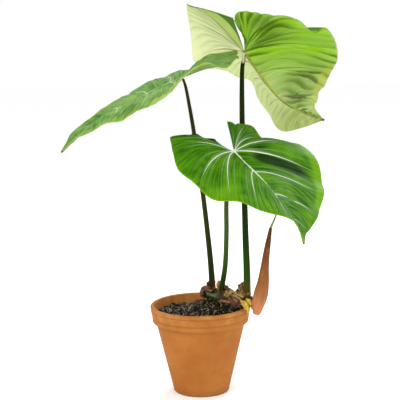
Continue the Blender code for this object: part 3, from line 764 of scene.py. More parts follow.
def tube_grid(points, radii, rows, columns, reference, swell=None):
    """A closed tube round a smooth path: a ring of points at each row, and a rounded cap at each end.

    A ring's point is the path's point plus the radius times (cosine x side + sine x other), where side
    is the reference direction made square to the path. swell(along, round) multiplies the radius.
    """
    path = spline(points, rows)
    size = spline([(radius, 0, 0) for radius in radii], rows)[:, 0]
    ahead = unit(np.gradient(path, axis=0))
    reference = np.array(reference, float)
    side = unit(reference - (ahead @ reference)[:, None] * ahead)
    other = np.cross(ahead, side)
    bend = np.linspace(0, 0.5 * np.pi, CAP_STEPS)[:-1]
    cap = len(bend)
    bulge = np.cos(bend)[:, None] * CAP_BULGE
    first = path[0] - ahead[0] * bulge * size[0]
    last = (path[-1] + ahead[-1] * bulge * size[-1])[::-1]
    centre = np.concatenate([first, path, last])
    radius = np.concatenate([size[0] * np.sin(bend), size, (size[-1] * np.sin(bend))[::-1]])
    side = np.concatenate([np.repeat(side[:1], cap, 0), side, np.repeat(side[-1:], cap, 0)])
    other = np.concatenate([np.repeat(other[:1], cap, 0), other, np.repeat(other[-1:], cap, 0)])
    angle = np.linspace(0, 2 * np.pi, columns + 1)
    along = np.linspace(0, 1, len(centre))
    reach = np.repeat(radius[:, None], columns + 1, axis=1)
    if swell is not None:
        reach = reach * swell(along[:, None], angle[None, :])
    ring = np.cos(angle)[None, :, None] * side[:, None] + np.sin(angle)[None, :, None] * other[:, None]
    grid = centre[:, None] + reach[..., None] * ring
    uv = grid_uv(angle / (2 * np.pi), along)
    return grid.reshape(-1, 3), grid_faces(len(centre), columns + 1), uv.reshape(-1, 2)


print("a tube of 9 rings has", len(tube_grid([(0, 0, 0), (0, 0, 9)], [1, 1], 9, 8, (1, 0, 0))[0]), "points")

# %% [markdown]
# The plant creeps: its stem, the rhizome, lies on the soil and bends over the rim. It is one tube
# along a path, with a raised ring where each old leaf stood. Short roots go down from it, also tubes.
# Sculpting would give freer lumps, but the formula keeps the skin on the solid's own path.

# %% Rhizome shape
RHIZOME_PATH = [(8, 36, 128), (18, 25, 130), (30, 5, 131), (46, -5, 131.5),
                (63, -15, 132), (72, -27, 131), (77, -37, 127)]
RHIZOME_RADII = [6.0, 8.0, 8.3, 7.6, 8.4, 7.6, 5.5]
ROOT_RADII = [1.95, 1.5, 1.5, 0.9]
ROOT_TOP = 126.0
ROOT_NECK = 119.0
ROOT_DEPTH = 34.0
ROOT_SPREAD = 7.0
ROOT_DRIFT = 5.0
ROOT_STARTS = [(11, 32), (17, 24), (24, 14), (31, 6), (40, -3), (50, -6)]


def ringed(along, around):
    """Radius factor of the rhizome: a raised ring at each old joint, and a slow uneven swelling."""
    ring = 0.07 * np.clip(np.cos(along * 2 * np.pi * 9), 0.55, 1) - 0.05
    return 0.97 + ring + 0.03 * np.sin(3 * around + 9 * along) + 0.015 * np.sin(7 * around - 31 * along)


def root_paths():
    """Paths of the roots: down from the rhizome's underside, leaning outwards as they go."""
    draw = np.random.default_rng(3)
    for x, y in ROOT_STARTS:
        lean = draw.uniform(-ROOT_SPREAD, ROOT_SPREAD, 2)
        yield [(x, y, ROOT_TOP), (x + 0.1 * lean[0], y + 0.1 * lean[1], ROOT_NECK),
               (x + 0.5 * lean[0] - 2, y + 0.5 * lean[1], ROOT_NECK - 0.5 * ROOT_DEPTH),
               (x + lean[0] - ROOT_DRIFT, y + lean[1], ROOT_NECK - ROOT_DEPTH)]


rhizome_parts = [tube_grid(RHIZOME_PATH, RHIZOME_RADII, 110, 48, (0, 0, 1), ringed)]
rhizome_parts += [tube_grid(path, ROOT_RADII, 20, 10, (1, 0, 0)) for path in root_paths()]
print("rhizome with", len(rhizome_parts) - 1, "roots")

# %% [markdown]
# Near its old end the stem has a bare stretch, glossy and dark green. The rest is brown and matt, and
# its growing end is yellow. The finish reads how far along the stem a point is, so that these changes
# stay where they belong. Painting vertex colours would need a steady hand and a finer mesh.

# %% Rhizome finish
stem = Finish("rhizome", roughness=0.35, Coat_Roughness=0.12, Specular_IOR_Level=0.2)
along_stem = stem.own("Y")
bark_noise = stem.noise(stem.place(), 0.16, 4.0, 0.65)
fibre = stem.streaks(60.0, 6.0)
gloss = along_stem.step(0.04, 0.08) * along_stem.step(0.38, 0.33)
old = along_stem.step(0.08, 0.03) + along_stem.step(0.34, 0.40) + bark_noise.step(0.6, 0.75) * 0.4
stem_colour = stem.layers(
    srgb(22, 44, 12),
    (bark_noise.step(0.3, 0.7), srgb(58, 84, 26)),
    (old.math("MINIMUM", 1.0) * 0.95, srgb(70, 44, 30)),
    (along_stem.step(0.86, 0.97) * 0.7, srgb(190, 150, 60)),
    (fibre.step(0.55, 0.75) * (0.5 - gloss * 0.4), srgb(60, 40, 26)),
)
stem.feed(Base_Color=stem_colour, Roughness=0.62 - gloss * 0.22, Coat_Weight=gloss * 0.6)
stem.bump((fibre + bark_noise) * (1.0 - gloss * 0.7), 0.6, 0.6)
add_piece("rhizome_skin", *join_grids(rhizome_parts), [stem], "rhizome", "rhizome")

# %% [markdown]
# Each stalk is thicker at its foot, faintly ribbed along its length, and bends just under the blade.
# Its colour goes from green at the foot to dark or brown above, so the finish is given three colours
# and reads the stalk's own length. One table holds what differs, and one loop makes all three.

# %% Stalks
RIB_THICKNESS = 2.2
GAP = 0.3
NECK_LENGTH = 9.0
STALKS = {
    "petiole_left": ([(18, 25, 134), (17.5, 24.5, 142), (15, 22, 182), (11, 16, 227), (6, 8, 276),
                      (-5, -10, 364), (-11, -18, 404)], 4.8, 2.6),
    "petiole_middle": ([(30, 3, 134), (30, 2.5, 142), (35, -8, 177), (37, -26, 228), (37, -42, 270),
                        (39, -62, 310)], 4.0, 3.1),
    "petiole_right": ([(65, -15, 134), (65, -14.5, 142), (65, -8, 172), (64, 2, 218), (63.5, 10, 257),
                       (62, 24, 335), (62, 33, 417), (63, 36, 448)], 5.4, 3.5),
}
BLADE_ENDS = {
    "petiole_right": ((66, 40, 470), (0.10, 0.42, 0.90)),
    "petiole_left": ((-19, -25, 440), (-0.30, -0.05, 0.95)),
    "petiole_middle": ((47, -85, 347), (0.20, -0.45, 0.87)),
}
STALK_LOOKS = {
    "petiole_left": ("petiole_brown", srgb(30, 48, 8), srgb(44, 56, 14), srgb(60, 44, 18),
                     srgb(112, 40, 30), (0.70, 0.80)),
    "petiole_middle": ("petiole_green", srgb(28, 48, 8), srgb(64, 90, 28), srgb(76, 66, 28),
                       srgb(46, 58, 16), (0.2, 0.3)),
    "petiole_right": ("petiole_dark", srgb(46, 82, 12), srgb(28, 48, 6), srgb(26, 38, 4),
                      srgb(112, 66, 24), (0.5, 0.56)),
}


def ribbed(along, around):
    """Radius factor of a stalk: shallow lengthwise ribs, and a slight waist at the neck."""
    neck = 0.10 * np.exp(-((along - 0.945) / 0.012) ** 2)
    return 0.975 + 0.022 * np.sin(9 * around) * (1 - along) + 0.01 * np.sin(4 * around + 14 * along) - neck


def stalk_finish(name, low, middle, high, stain, stain_from):
    """Low, middle and high colours along the stalk, fine streaks, and a foot stained on one side.

    The right stalk also has a yellow-green rim at its foot and a pale neck.
    """
    made = Finish(name, roughness=0.5, Specular_IOR_Level=0.06)
    along = made.own("Y")
    around = made.own("X")
    streak = made.streaks(26.0, 9.0, 4.0)
    fleck = made.noise(made.place((1.0, 1.0, 0.25)), 0.9, 2.0)
    colour = made.layers(
        low,
        (along.step(0.05, 0.40), middle),
        (along.step(0.45, 0.85), high),
        (streak.step(0.5, 0.75) * 0.3, srgb(96, 116, 44)),
        (fleck.step(0.62, 0.75) * 0.5, srgb(24, 30, 14)),
        (along.step(0.15, 0.05) * around.step(*stain_from) * 0.85, stain),
    )
    if name == "petiole_right":
        rim = along.step(0.16, 0.08) * around.step(0.84, 0.90)
        neck = along.step(0.893, 0.912) * around.step(0.36, 0.42) * around.step(0.88, 0.80)
        neck = neck.math("MAXIMUM", along.step(0.962, 0.972))
        colour = made.layers(colour, (rim * 0.9, srgb(150, 156, 50)), (neck * 0.9, srgb(228, 222, 178)))
    made.feed(Base_Color=colour, Roughness=0.34 + streak * 0.2)
    made.bump(streak, 0.25, 0.5)
    return made


for name, (path, foot, neck) in STALKS.items():
    end, up = BLADE_ENDS[name]
    up = unit(np.array(up))
    below = RIB_THICKNESS + 2 * GAP + 0.25
    route = [*path, tuple(end - up * (below + NECK_LENGTH)), tuple(end - up * below)]
    radii = foot + (neck - foot) * np.linspace(0, 1, len(route)) ** 0.8
    radii[1] = foot
    radii[-2:] = (0.95 * neck, 0.70 * neck)
    slot, *colours = STALK_LOOKS[name]
    add_piece(name + "_skin", *tube_grid(route, radii, 240, 36, (1, 0, 0), ribbed),
              [stalk_finish(name, *colours)], name, slot)

# %% [markdown]
# A leaf blade is the heart of the plant, so its formula follows how the leaf grows. Main veins fan out
# from the stalk and then leave the midrib one by one, and each runs out to the margin in a curve. The
# first parameter counts the veins from the notch round to the tip; the second runs out along the vein.
# The table pins the midrib and the margin in millimetres, and gives each half its own numbers:
# fan, up to which count veins start at the stalk, and a power for how fast the rest leave it;
# pleat, the swelling, the furrows' depth and how often they come; ruffle, a broad and a fine wave;
# roll, a turned margin's first and last count, drop, tone and inner edge; bite, a nick's count, depth
# and width; dent, a count, a width and a shift; notch, how far the lobe's inner edge is pushed, and
# the eye; fold, a deep valley's count, width and depth.

# %% Blade pins
BLADES = {
    "blade_top": {
        "up": (0.1, 0.42, 0.9), "back": 0.18, "drip": 0.08, "cup": 0.0,
        "rib": [(66, 40, 470), (84, 62, 443), (104, 88, 415), (125, 112, 394), (149, 138, 379),
                (190, 178, 360)],
        "left": {
            "margin": [(49.5, -3, 517), (-9, 57, 537), (-8, 112, 510), (-1, 144, 453),
                       (52, 162, 433), (82, 170, 417), (106, 178, 371), (135, 182, 342)],
            "fan": (3.3, 1.15), "arch": 0.05, "pleat": (0.07, 0.03, 4.5), "ruffle": (2.0, 0.2),
            "roll": (-1.0, 1.2, 5.0, 1.0, 0.86),
            "notch": (-1.0, 0.0),
        },
        "right": {
            "margin": [(51, -10, 514), (59, -38, 525), (115, -44, 519), (171, -22, 504),
                       (193, 20, 464), (185, 68, 433), (175, 114, 400), (175, 152, 383)],
            "veins": [0, 0.9, 1.9, 2.9, 3.8, 4.8, 5.8, 6.9, 8],
            "fan": (3.9, 1.0), "arch": 0.05, "pleat": (0.15, 0.17, 3.5), "ruffle": (1.0, 1.8),
            "roll": (4.6, 7.6, 3.0, -1.0, 0.86),
            "bite": (5.9, 0.03, 0.2), "notch": (1.0, 8.0), "dent": (2.62, 0.26, (2, 0, -14)),
        },
    },
    "blade_left": {
        "up": (-0.3, -0.05, 0.95), "back": 0.16, "drip": 0.05, "cup": 0.0,
        "rib": [(-19, -25, 440), (-45, -33, 430), (-75, -42, 416), (-112, -52, 398),
                (-143, -60, 379), (-179, -70, 348)],
        "left": {
            "margin": [(49, -43, 469), (54, -87, 468), (35, -123, 459), (-1, -139, 458),
                       (-35, -139, 425), (-78, -133, 403), (-117, -113, 387), (-154, -89, 369)],
            "fan": (3.3, 1.15), "arch": 0.05, "pleat": (0.09, 0.05, 4.5), "ruffle": (2.0, 0.5),
            "roll": (2.3, 4.7, -3.0, -1.0, 0.78),
            "dent": (0.0, 0.3, (2, 0, 1)),
        },
        "right": {
            "margin": [(46, -9, 462), (56, 37, 470), (22, 75, 466), (-18, 90, 441), (-57, 79, 430),
                       (-107, 45, 407), (-143, -1, 387), (-169, -43, 368)],
            "fan": (3.3, 1.15), "arch": 0.05, "pleat": (0.1, 0.055, 4.5), "ruffle": (2.0, 0.5),
            "roll": (3.2, 8.0, 2.0, 0.7, 0.9),
            "dent": (0.0, 0.4, (3, 0, 3)),
        },
    },
    "blade_front": {
        "up": (0.2, -0.45, 0.87), "back": 0.24, "drip": 0.25, "cup": 2.4,
        "rib": [(47, -85, 347), (60, -105, 335), (74, -127, 323), (89, -151, 308),
                (104, -175, 291), (121, -197, 268), (127, -207, 249)],
        "left": {
            "margin": [(40, -23, 380), (66, -1, 374), (93, 7, 355), (141, -7, 347),
                       (162, -47, 313), (161, -91, 287), (149, -140, 270), (135, -181, 257)],
            "veins": [0, 1, 2, 3.1, 4.1, 5, 6, 7, 8],
            "fan": (4.2, 0.8), "arch": 0.06, "pleat": (0.11, 0.045, 5.5), "ruffle": (2.4, 0.3),
            "roll": (2.2, 5.8, -1.5, -0.8, 0.88),
            "bite": (0.42, 0.09, 0.16), "dent": (2.5, 0.45, (0, 0, -8)), "fold": (4.42, 0.28, 8.0),
        },
        "right": {
            "margin": [(23, -27, 357), (-1, -30, 360), (-23, -67, 366), (-32, -130, 360),
                       (-23, -167, 335), (12, -191, 307), (59, -210, 298), (113, -215, 278)],
            "veins": [0, 1.5, 3, 4.7, 5.6, 6.25, 6.85, 7.45, 8],
            "fan": (5.6, 1.0), "arch": 0.09, "pleat": (0.07, 0.035, 5.5), "ruffle": (2.4, 0.3),
            "roll": (-1.0, 1.5, -2.5, 1.0, 0.72),
            "bite": (2.75, 0.03, 0.25), "dent": (2.2, 0.5, (-8, 0, -1)),
        },
    },
}
VEINS = 8
PLAIN_HALF = {"veins": list(range(VEINS + 1)), "bite": (0.0, 0.0, 1.0), "notch": (3.0, 0.0),
              "dent": (0.0, 1.0, (0, 0, 0)), "fold": None}
SIGN = {"left": 1.0, "right": -1.0}
BLADE_THICKNESS = 0.8
BLADE_ROWS = 30 * VEINS + 1
BLADE_COLUMNS = 58
print(len(BLADES), "blades of", 2 * BLADE_ROWS * BLADE_COLUMNS, "points on each face")

# %% [markdown]
# First come the veins' two ends. The midrib and the margin are smooth curves through the pins, and a
# vein's count picks a place on each. Drawing every vein by hand would take hundreds of pins.

# %% Vein ends
RIB_STEPS = 200
MARGIN_STEPS = 16
DRIP_AT = 7.45
DRIP_WIDTH = 0.45


def along_curve(curve, where):
    """Points of a finely sampled curve at fractional positions in it, by straight interpolation."""
    return np.stack([np.interp(where, np.arange(len(curve)), curve[:, k]) for k in range(3)], axis=1)


def vein_ends(blade, half, count):
    """Where each vein starts on the midrib and ends on the margin, and the midrib's direction there.

    A bite and the drip tip pull the margin in by a share of the vein, and a dent shifts it by a vector,
    each weighed by the bell curve exp(-(distance / width)^2) of the count.
    """
    u = np.interp(count, np.arange(VEINS + 1), half["veins"])
    fan, power = half["fan"]
    rib = spline(blade["rib"], RIB_STEPS + 1)
    place = np.clip((u - fan) / (VEINS - fan), 0, 1) ** power * RIB_STEPS
    start = along_curve(rib, place)
    ahead = along_curve(unit(np.gradient(rib, axis=0)), place)
    margin = spline([*half["margin"], blade["rib"][-1]], MARGIN_STEPS * VEINS + 1, power=0.0)
    end = along_curve(margin, u * MARGIN_STEPS)
    centre, width, shift = half["dent"]
    end = end + np.exp(-((u - centre) / width) ** 2)[:, None] * np.array(shift)
    centre, depth, width = half["bite"]
    pull = depth * np.exp(-((count - centre) / width) ** 2)
    pull = pull + blade["drip"] * np.exp(-((count - DRIP_AT) / DRIP_WIDTH) ** 2)
    return u, start, end - pull[:, None] * (end - start), ahead


print("vein ends ready")

# %% [markdown]
# Between its ends a vein bows back from the tip and up from the blade. Three points are enough for
# that: a quadratic curve is pulled towards its middle point. All veins side by side are the bare blade.

# %% Bare blade
EYE_GAIN = 9.5


def bare_blade(blade, half, sign, u, v, start, end, ahead):
    """The blade without relief: each vein is (1-v)^2 start + 2v(1-v) middle + v^2 end.

    The middle lies back from the tip by a share of the vein's length, up by the arch, and aside at the
    notch. A cup turns the arch downwards near the notch. The eye widens the notch by v(1-v)^3, scaled
    to a height of about 1.
    """
    chord = end - start
    length = np.linalg.norm(chord, axis=1)[:, None]
    up = unit(np.array(blade["up"]))
    normal = unit(np.cross(ahead, chord) * sign + 1e-3 * up)
    mixing = np.clip((u - 1.5) / 2.5, 0, 1)[:, None]
    normal = normal * mixing + up * (1 - mixing)
    back = blade["back"] * np.clip(u / 2.0, 0.3, 1)[:, None]
    cup = blade["cup"]
    arch = half["arch"] * np.clip((u - 0.4 * cup) / (0.6 * cup + 0.01), -0.5, 1)[:, None]
    notch, eye = half["notch"]
    from_notch = np.cross(up, ahead) * sign
    aside = from_notch * notch * np.clip(1 - u / 3.3, 0, 1)[:, None]
    middle = 0.5 * (start + end) - back * length * ahead + arch * length * normal + aside
    w = v[None, :, None]
    surface = (1 - w) ** 2 * start[:, None] + 2 * w * (1 - w) * middle[:, None] + w ** 2 * end[:, None]
    near_notch = np.clip(1 - u / 1.3, 0, 1)[:, None, None]
    return surface + eye * EYE_GAIN * w * (1 - w) ** 3 * near_notch * from_notch[:, None], length


def upper_normal(surface, sign):
    """Unit normals on the upper side: the cross product of steps along u and along v."""
    normal = unit(np.cross(np.gradient(surface, axis=0), np.gradient(surface, axis=1)) * sign)
    normal[:, 0] = normal[:, 1]
    normal[-1] = normal[-2]
    return normal


print("bare blade ready")

# %% [markdown]
# Relief makes it a leaf: the blade swells between its veins, fine pleats run beside them, the margin
# waves, rolls and crimps, and one half of the low leaf has a deep fold. A noise texture could roughen
# the blade, but it wouldn't know where the veins are. Here each is a wave of the vein count.

# %% Relief
RUFFLE_SHIFT = {"left": 0.6, "right": 2.1}
ROLL_START = 0.4
TINT_WIDTH = 0.08


def pleats(half, turns, out):
    """Swelling between veins, as a share of their spacing, and how deep in a fine furrow a point is.

    The swelling is |sin(pi count)|. Less is taken off in furrows, 1 - |sin| of the count times how
    often they come, with a wandering phase. They are shallow near the notch, and end at the margin.
    """
    coarse, fine, often = half["pleat"]
    phase = often * turns + 0.30 * np.sin(2.3 * turns + 4 * out) + 0.16 * np.sin(6.1 * turns + 9 * out)
    waver = 0.65 + 0.35 * np.sin(1.7 * turns + 5 * out + 1.0)
    furrow = 1 - np.abs(np.sin(np.pi * phase))
    swell = coarse * np.abs(np.sin(np.pi * turns)) * np.sin(np.pi * out ** 0.8) ** 1.2
    grow = np.clip(0.4 + turns / 4, 0, 1)
    swell = swell - fine * grow * furrow * waver * np.sin(np.pi * np.clip(out, 0, 0.98)) ** 0.6
    return swell, furrow * waver


def margin_waves(half, hand, u, turns, out):
    """Waves in millimetres that grow towards the margin, and the tone of the rolled strip.

    A broad ruffle grows as v^4 and a crimp as v^5. A roll drops as the square of the way into its strip.
    """
    broad, crimp = half["ruffle"]
    wave = broad * np.sin(2 * np.pi * 0.85 * u + RUFFLE_SHIFT[hand])[:, None] * out ** 4
    uneven = (0.5 + 0.5 * np.sin(2.1 * turns + 1.3)) * np.clip((turns - 2.5) / 1.5, 0, 1)
    wave = wave + crimp * uneven * np.sin(2 * np.pi * (1.9 * turns + 0.4 * np.sin(2.6 * turns))) * out ** 5
    first, last, drop, tone, inner = half["roll"]
    in_roll = np.clip((turns - first) / ROLL_START, 0, 1) * np.clip((last - turns) / ROLL_START, 0, 1)
    curl = np.clip((out - inner) / (1 - inner), 0, 1) ** 2 * in_roll
    # The tone marks the rolled strip for the finish: above 0 it is painted darker, as shade; below 0 lighter.
    return wave - drop * curl, np.clip((out - inner) / TINT_WIDTH, 0, 1) * in_roll * tone


def fold_valley(half, turns, out):
    """A fold's depth in millimetres and its darkness, both bell curves of the count; or none."""
    if not half["fold"]:
        return 0.0, 0.0
    centre, width, depth = half["fold"]
    valley = np.exp(-((turns - centre) / width) ** 2) * np.sin(np.pi * np.clip(out * 0.95, 0, 1) ** 0.8)
    # The darkness is painted shade: a band along the valley below the vein, and a smaller patch of it nearby.
    off = (turns - centre + 0.14) / (width * (0.55 + 0.6 * out))
    dark = np.exp(-off ** 2) * np.clip(4 * out - 0.3, 0, 1) * np.clip((0.98 - out) / 0.25, 0, 1)
    spot = np.exp(-((turns - centre + 0.80) / 0.16) ** 2 - ((out - 0.34) / 0.13) ** 2)
    return depth * valley, np.maximum(dark, 0.7 * spot)


print("relief ready")

# %% [markdown]
# One half of a blade is the bare blade moved along its own normals by the relief. The numbers that the
# finish will need, such as the veins' spacing in millimetres, are worked out at the same time.


# %% Half a blade
def half_surface(blade, hand):
    """One half of a blade: its points, and numbers for the finish.

    The lift along the normal is the spacing times the swelling, plus the margin's waves, less the fold.
    It fades out towards the tip.
    """
    half = {**PLAIN_HALF, **blade[hand]}
    sign = SIGN[hand]
    count = np.linspace(0, VEINS, BLADE_ROWS)
    v = np.linspace(0, 1, BLADE_COLUMNS)
    turns, out = count[:, None], v[None, :]
    u, start, end, ahead = vein_ends(blade, half, count)
    surface, length = bare_blade(blade, half, sign, u, v, start, end, ahead)
    spread = np.linalg.norm(np.gradient(surface, count, axis=0), axis=2)
    fade = np.clip((VEINS - u) / 2.0, 0, 1)[:, None]
    swell, furrow = pleats(half, turns, out)
    wave, tint = margin_waves(half, hand, u, turns, out)
    depth, dark = fold_valley(half, turns, out)
    lift = spread * swell * fade + wave * fade * np.clip(u, 0, 1)[:, None] - depth
    surface = surface + lift[:, :, None] * upper_normal(surface, sign)
    # dark holds the painted shade of the fold and of darkened rolled margins, and a lighter tone where it is
    # below 0.
    dark = np.where(np.abs(tint) > 0.01, tint, dark)
    return surface, {"spread": spread, "reach": length * out, "furrow": furrow, "dark": dark}


def rib_thickness(spread, reach):
    """Blade thickness: thin, with a raised rib under each main vein and a strong one under the midrib.

    A rib is a bell curve of the distance to its vein, narrower and lower towards the margin.
    """
    count = np.linspace(0, VEINS, BLADE_ROWS)[:, None]
    whole = np.round(count)
    share = np.clip(1 - reach / 130.0, 0.15, 1)
    real = (whole >= 1) & (whole <= VEINS - 1)
    vein = 0.75 * share * np.exp(-(np.abs(count - whole) * spread / (1.3 * share)) ** 2)
    return BLADE_THICKNESS + vein * real * np.clip(reach / 12, 0, 1) + 1.4 * np.exp(-(reach / 2.2) ** 2)


print("half blades ready")

# %% [markdown]
# The whole blade is closed: an upper face and an under face for each half, and a rim between them. A
# Solidify modifier could thicken one sheet, but it can't raise a rib under each vein.

# %% Whole blade
HAND_SHIFT = 20.0


def edge_of(grid):
    """The notch side and the margin of a grid, as one run."""
    return np.concatenate([grid[0], grid[1:, -1]])


def blade_arrays(blade):
    """Both halves of a blade, upper and under faces and the rim between, as arrays for one mesh.

    The right half's vein count is stored with a shift, so that the finish can tell the halves apart.
    """
    parts, numbers, indices = [], [], []
    count = np.linspace(0, VEINS, BLADE_ROWS)
    out = np.linspace(0, 1, BLADE_COLUMNS)
    for hand, shift in (("left", 0.0), ("right", HAND_SHIFT)):
        top, values = half_surface(blade, hand)
        thick = rib_thickness(values["spread"], values["reach"])
        under = top - upper_normal(top, SIGN[hand]) * thick[:, :, None]
        uv = grid_uv(out, count + shift)[..., ::-1]
        table = np.stack(list(values.values()), axis=-1)
        left = hand == "left"
        for sheet, flip, index in ((top, left, 0), (under, not left, 1)):
            faces = grid_faces(BLADE_ROWS, BLADE_COLUMNS, flip=flip)
            parts.append((sheet.reshape(-1, 3), faces, uv.reshape(-1, 2)))
            numbers.append(table.reshape(-1, table.shape[-1]))
            indices.append(np.full((BLADE_ROWS - 1) * (BLADE_COLUMNS - 1), index))
        rim = np.stack([edge_of(top), edge_of(under)], axis=1)
        rim_uv = np.stack([edge_of(uv)] * 2, axis=1)
        parts.append((rim.reshape(-1, 3), grid_faces(len(rim), 2, flip=left), rim_uv.reshape(-1, 2)))
        numbers.append(np.repeat(edge_of(table), 2, axis=0))
        indices.append(np.zeros(len(rim) - 1))
    named = dict(zip(values, np.concatenate(numbers).T))
    return (*join_grids(parts), named, np.concatenate(indices))


print("whole blades ready")

# %% [markdown]
# A leaf's finish measures the distance to the nearest vein in millimetres, from the vein count and the
# stored spacing, so a vein keeps a true width however the leaf bends. A painted picture could do the
# same, but would blur, and could not be resized. Streaks run along the veins, as stretched noise.


# %% Leaf coordinates
class Leaf(Finish):
    """A blade's finish: the base class plus the leaf's own coordinates and vein lines."""

    def __init__(self, name, roughness):
        super().__init__(name, roughness=roughness, Specular_IOR_Level=0.08)
        across = self.own("X")
        self.out = self.own("Y")
        self.hand = across.step(HAND_SHIFT - 6.0, HAND_SHIFT - 5.0)
        self.count = across - self.hand * HAND_SHIFT
        self.spread = self.attribute("spread")
        self.reach = self.attribute("reach")
        self.where = self.place()
        self.streak = self.streaks(13.0, 2.0, 3.0, 0.6)
        self.thread = self.streaks(34.0, 3.0, 2.0, 0.6)
        self.cloud = self.noise(self.where, 0.03, 3.0, 0.6)
        self.blotch = self.noise(self.where, 0.35, 3.0, 0.6)
        self.from_vein = (self.count - self.count.math("ROUND")).math("ABSOLUTE") * self.spread

    def line(self, times, width, shift=0.0):
        """1 on lines at every whole value of count times the factor, of a width in millimetres."""
        place = self.count * times + shift
        off = (place - place.math("ROUND")).math("ABSOLUTE") * self.spread / times
        return off.step(width, 0.3 * width)

    def veins(self, width):
        """Main veins, which taper outwards, and the midrib, which tapers to the tip."""
        wobble = (self.noise(self.where, 0.06, 2.0) - 0.5) * 1.4
        taper = 1.0 - self.out * 0.7
        main = ((self.from_vein + wobble * self.out * 0.5) / taper).step(1.35 * width, 0.5 * width)
        main = main * self.count.step(0.5, 0.52) * self.out.step(1.02, 0.55)
        last = self.count.step(7.6, 6.0) * 0.6 + 0.4
        midrib = (self.reach / (1.0 - self.count * 0.115)).step(6.2 * width, 3.6 * width)
        return (main * last).math("MAXIMUM", midrib)

    def halo(self, width):
        """A soft band beside each main vein."""
        return self.from_vein.step(width, 0.5) * self.count.step(0.5, 0.52) * self.out.step(0.95, 0.2)


print("leaf coordinates ready")

# %% [markdown]
# The upper face is velvety green in two or three greens, yellower towards the margin, with crisp pale
# veins that fade out before they reach it. Real leaves also let light through, so a part of the
# surface is a translucent shader; subsurface scattering would do it too, but slowly and with noise.
# Shade is painted into the colour: fine furrows, the low leaf's deep fold and some rolled margins are
# darker, and on the left leaf the lobes' grey-green stands partly for the velvet's sheen.

# %% Upper face
# The colour of the painted shade in the fold and on darkened rolled margins.
FOLD_SHADE = srgb(12, 46, 4)
TIP_BROWN = srgb(120, 84, 40)


def upper_finish(name, deep, middle, fresh, sun, vein, glow, sun_share, lobe, thread_share=0.30):
    """A blade's upper face. deep to fresh are its greens, sun the yellower green near the margin."""
    made = Leaf(name, 0.46)
    furrow = made.attribute("furrow")
    dark = made.attribute("dark")
    sunny = made.out.step(0.55, 1.0) * made.thread.step(0.25, 0.75) * made.cloud.step(0.25, 0.65)
    fine = made.line(2.0, 0.9, 0.5) * made.out.step(0.98, 0.5) * made.out.step(0.04, 0.3)
    # Painted shade: the fold and darkened rolled margins go nearly black-green, in the surface colour and in
    # the light let through.
    fold_and_roll_shade = (dark + (made.thread - 0.5) * 0.5).step(0.12, 0.85) * dark.step(0.02, 0.3)
    strong = made.veins(1.0)
    made.feed(Roughness=0.36 + made.blotch * 0.2 + made.streak * 0.1, Base_Color=made.layers(
        deep,
        (made.streak.step(0.34, 0.60), middle),
        (made.cloud.step(0.4, 0.75) * 0.6, fresh),
        # lobe is the lobes' own tone; on the left leaf its grey-green also stands for the velvet's sheen,
        # painted.
        (made.count.step(2.2, 0.8) * 0.6, lobe),
        (sunny * sun_share, sun),
        (made.thread.step(0.5, 0.75) * thread_share, fresh),
        # Painted shade: the fine furrows are darker, as shade in their hollows.
        (furrow.step(0.35, 0.95) * 0.75, deep),
        (made.blotch.step(0.45, 0.8) * 0.18, deep),
        ((dark * -1.0).step(0.02, 0.7) * 0.75, made.mix(made.thread.step(0.3, 0.7), fresh, sun)),
        (fine * 0.14, vein),
        (made.halo(5.0) * 0.14, vein),
        (fold_and_roll_shade * 0.88, FOLD_SHADE),
        (strong * 0.96, vein),
        (made.out.step(0.985, 0.997) * 0.6, sun),
        (made.count.step(7.86, 7.95), TIP_BROWN),
    ))
    made.bump(made.streak * 0.5 + made.thread * 0.35 + made.blotch * 0.25 - strong * 0.8 - fine * 0.3, 0.6, 0.7)
    made.glow_through(made.mix(fold_and_roll_shade, made.mix(strong * 0.4, glow, vein), srgb(9, 38, 3)), 0.22)
    return made


print("upper face ready")

# %% [markdown]
# Beside the notch, the left half of a leaf has a strip that is turned over: a dark band, a cream line at
# its crease, a lime field and two brown veins. Modelling the turn would double the sheet there. In
# the photograph it shows as colours alone, so each is a line or a field in vein counts.


# %% Turned strip
def notch_strip(made, band):
    """Coats for the turned strip beside the notch of the left half, and how far inside it a point is."""
    left_side = 1.0 - made.hand
    from_crease = (made.count - (made.out ** 1.4) * 0.50) * made.spread
    inside = from_crease.step(0.9, -0.2) * left_side
    lime = made.count.step(0.86, 0.80) * made.out.step(0.02, 0.15) * left_side
    top_edge = made.out.step(0.90, 0.92) * made.count.step(1.6, 0.9) * left_side
    pair = (made.count - 0.86).math("ABSOLUTE") - made.out * 0.05
    pair = (pair.math("ABSOLUTE") * made.spread).step(1.2, 0.4) * made.out.step(1.0, 0.85)
    coats = (
        (lime * 0.7, made.mix(made.streak, shade(150, 186, 30), shade(214, 236, 110))),
        (top_edge * 0.8, shade(176, 214, 60)),
        (inside * 0.95, made.mix(made.thread, band, shade(96, 158, 20))),
        (from_crease.math("ABSOLUTE").step(1.3, 0.5) * left_side * 0.8, srgb(238, 244, 176)),
        (pair * left_side * 0.75, shade(96, 100, 10)),
    )
    return coats, inside


print("turned strip ready")
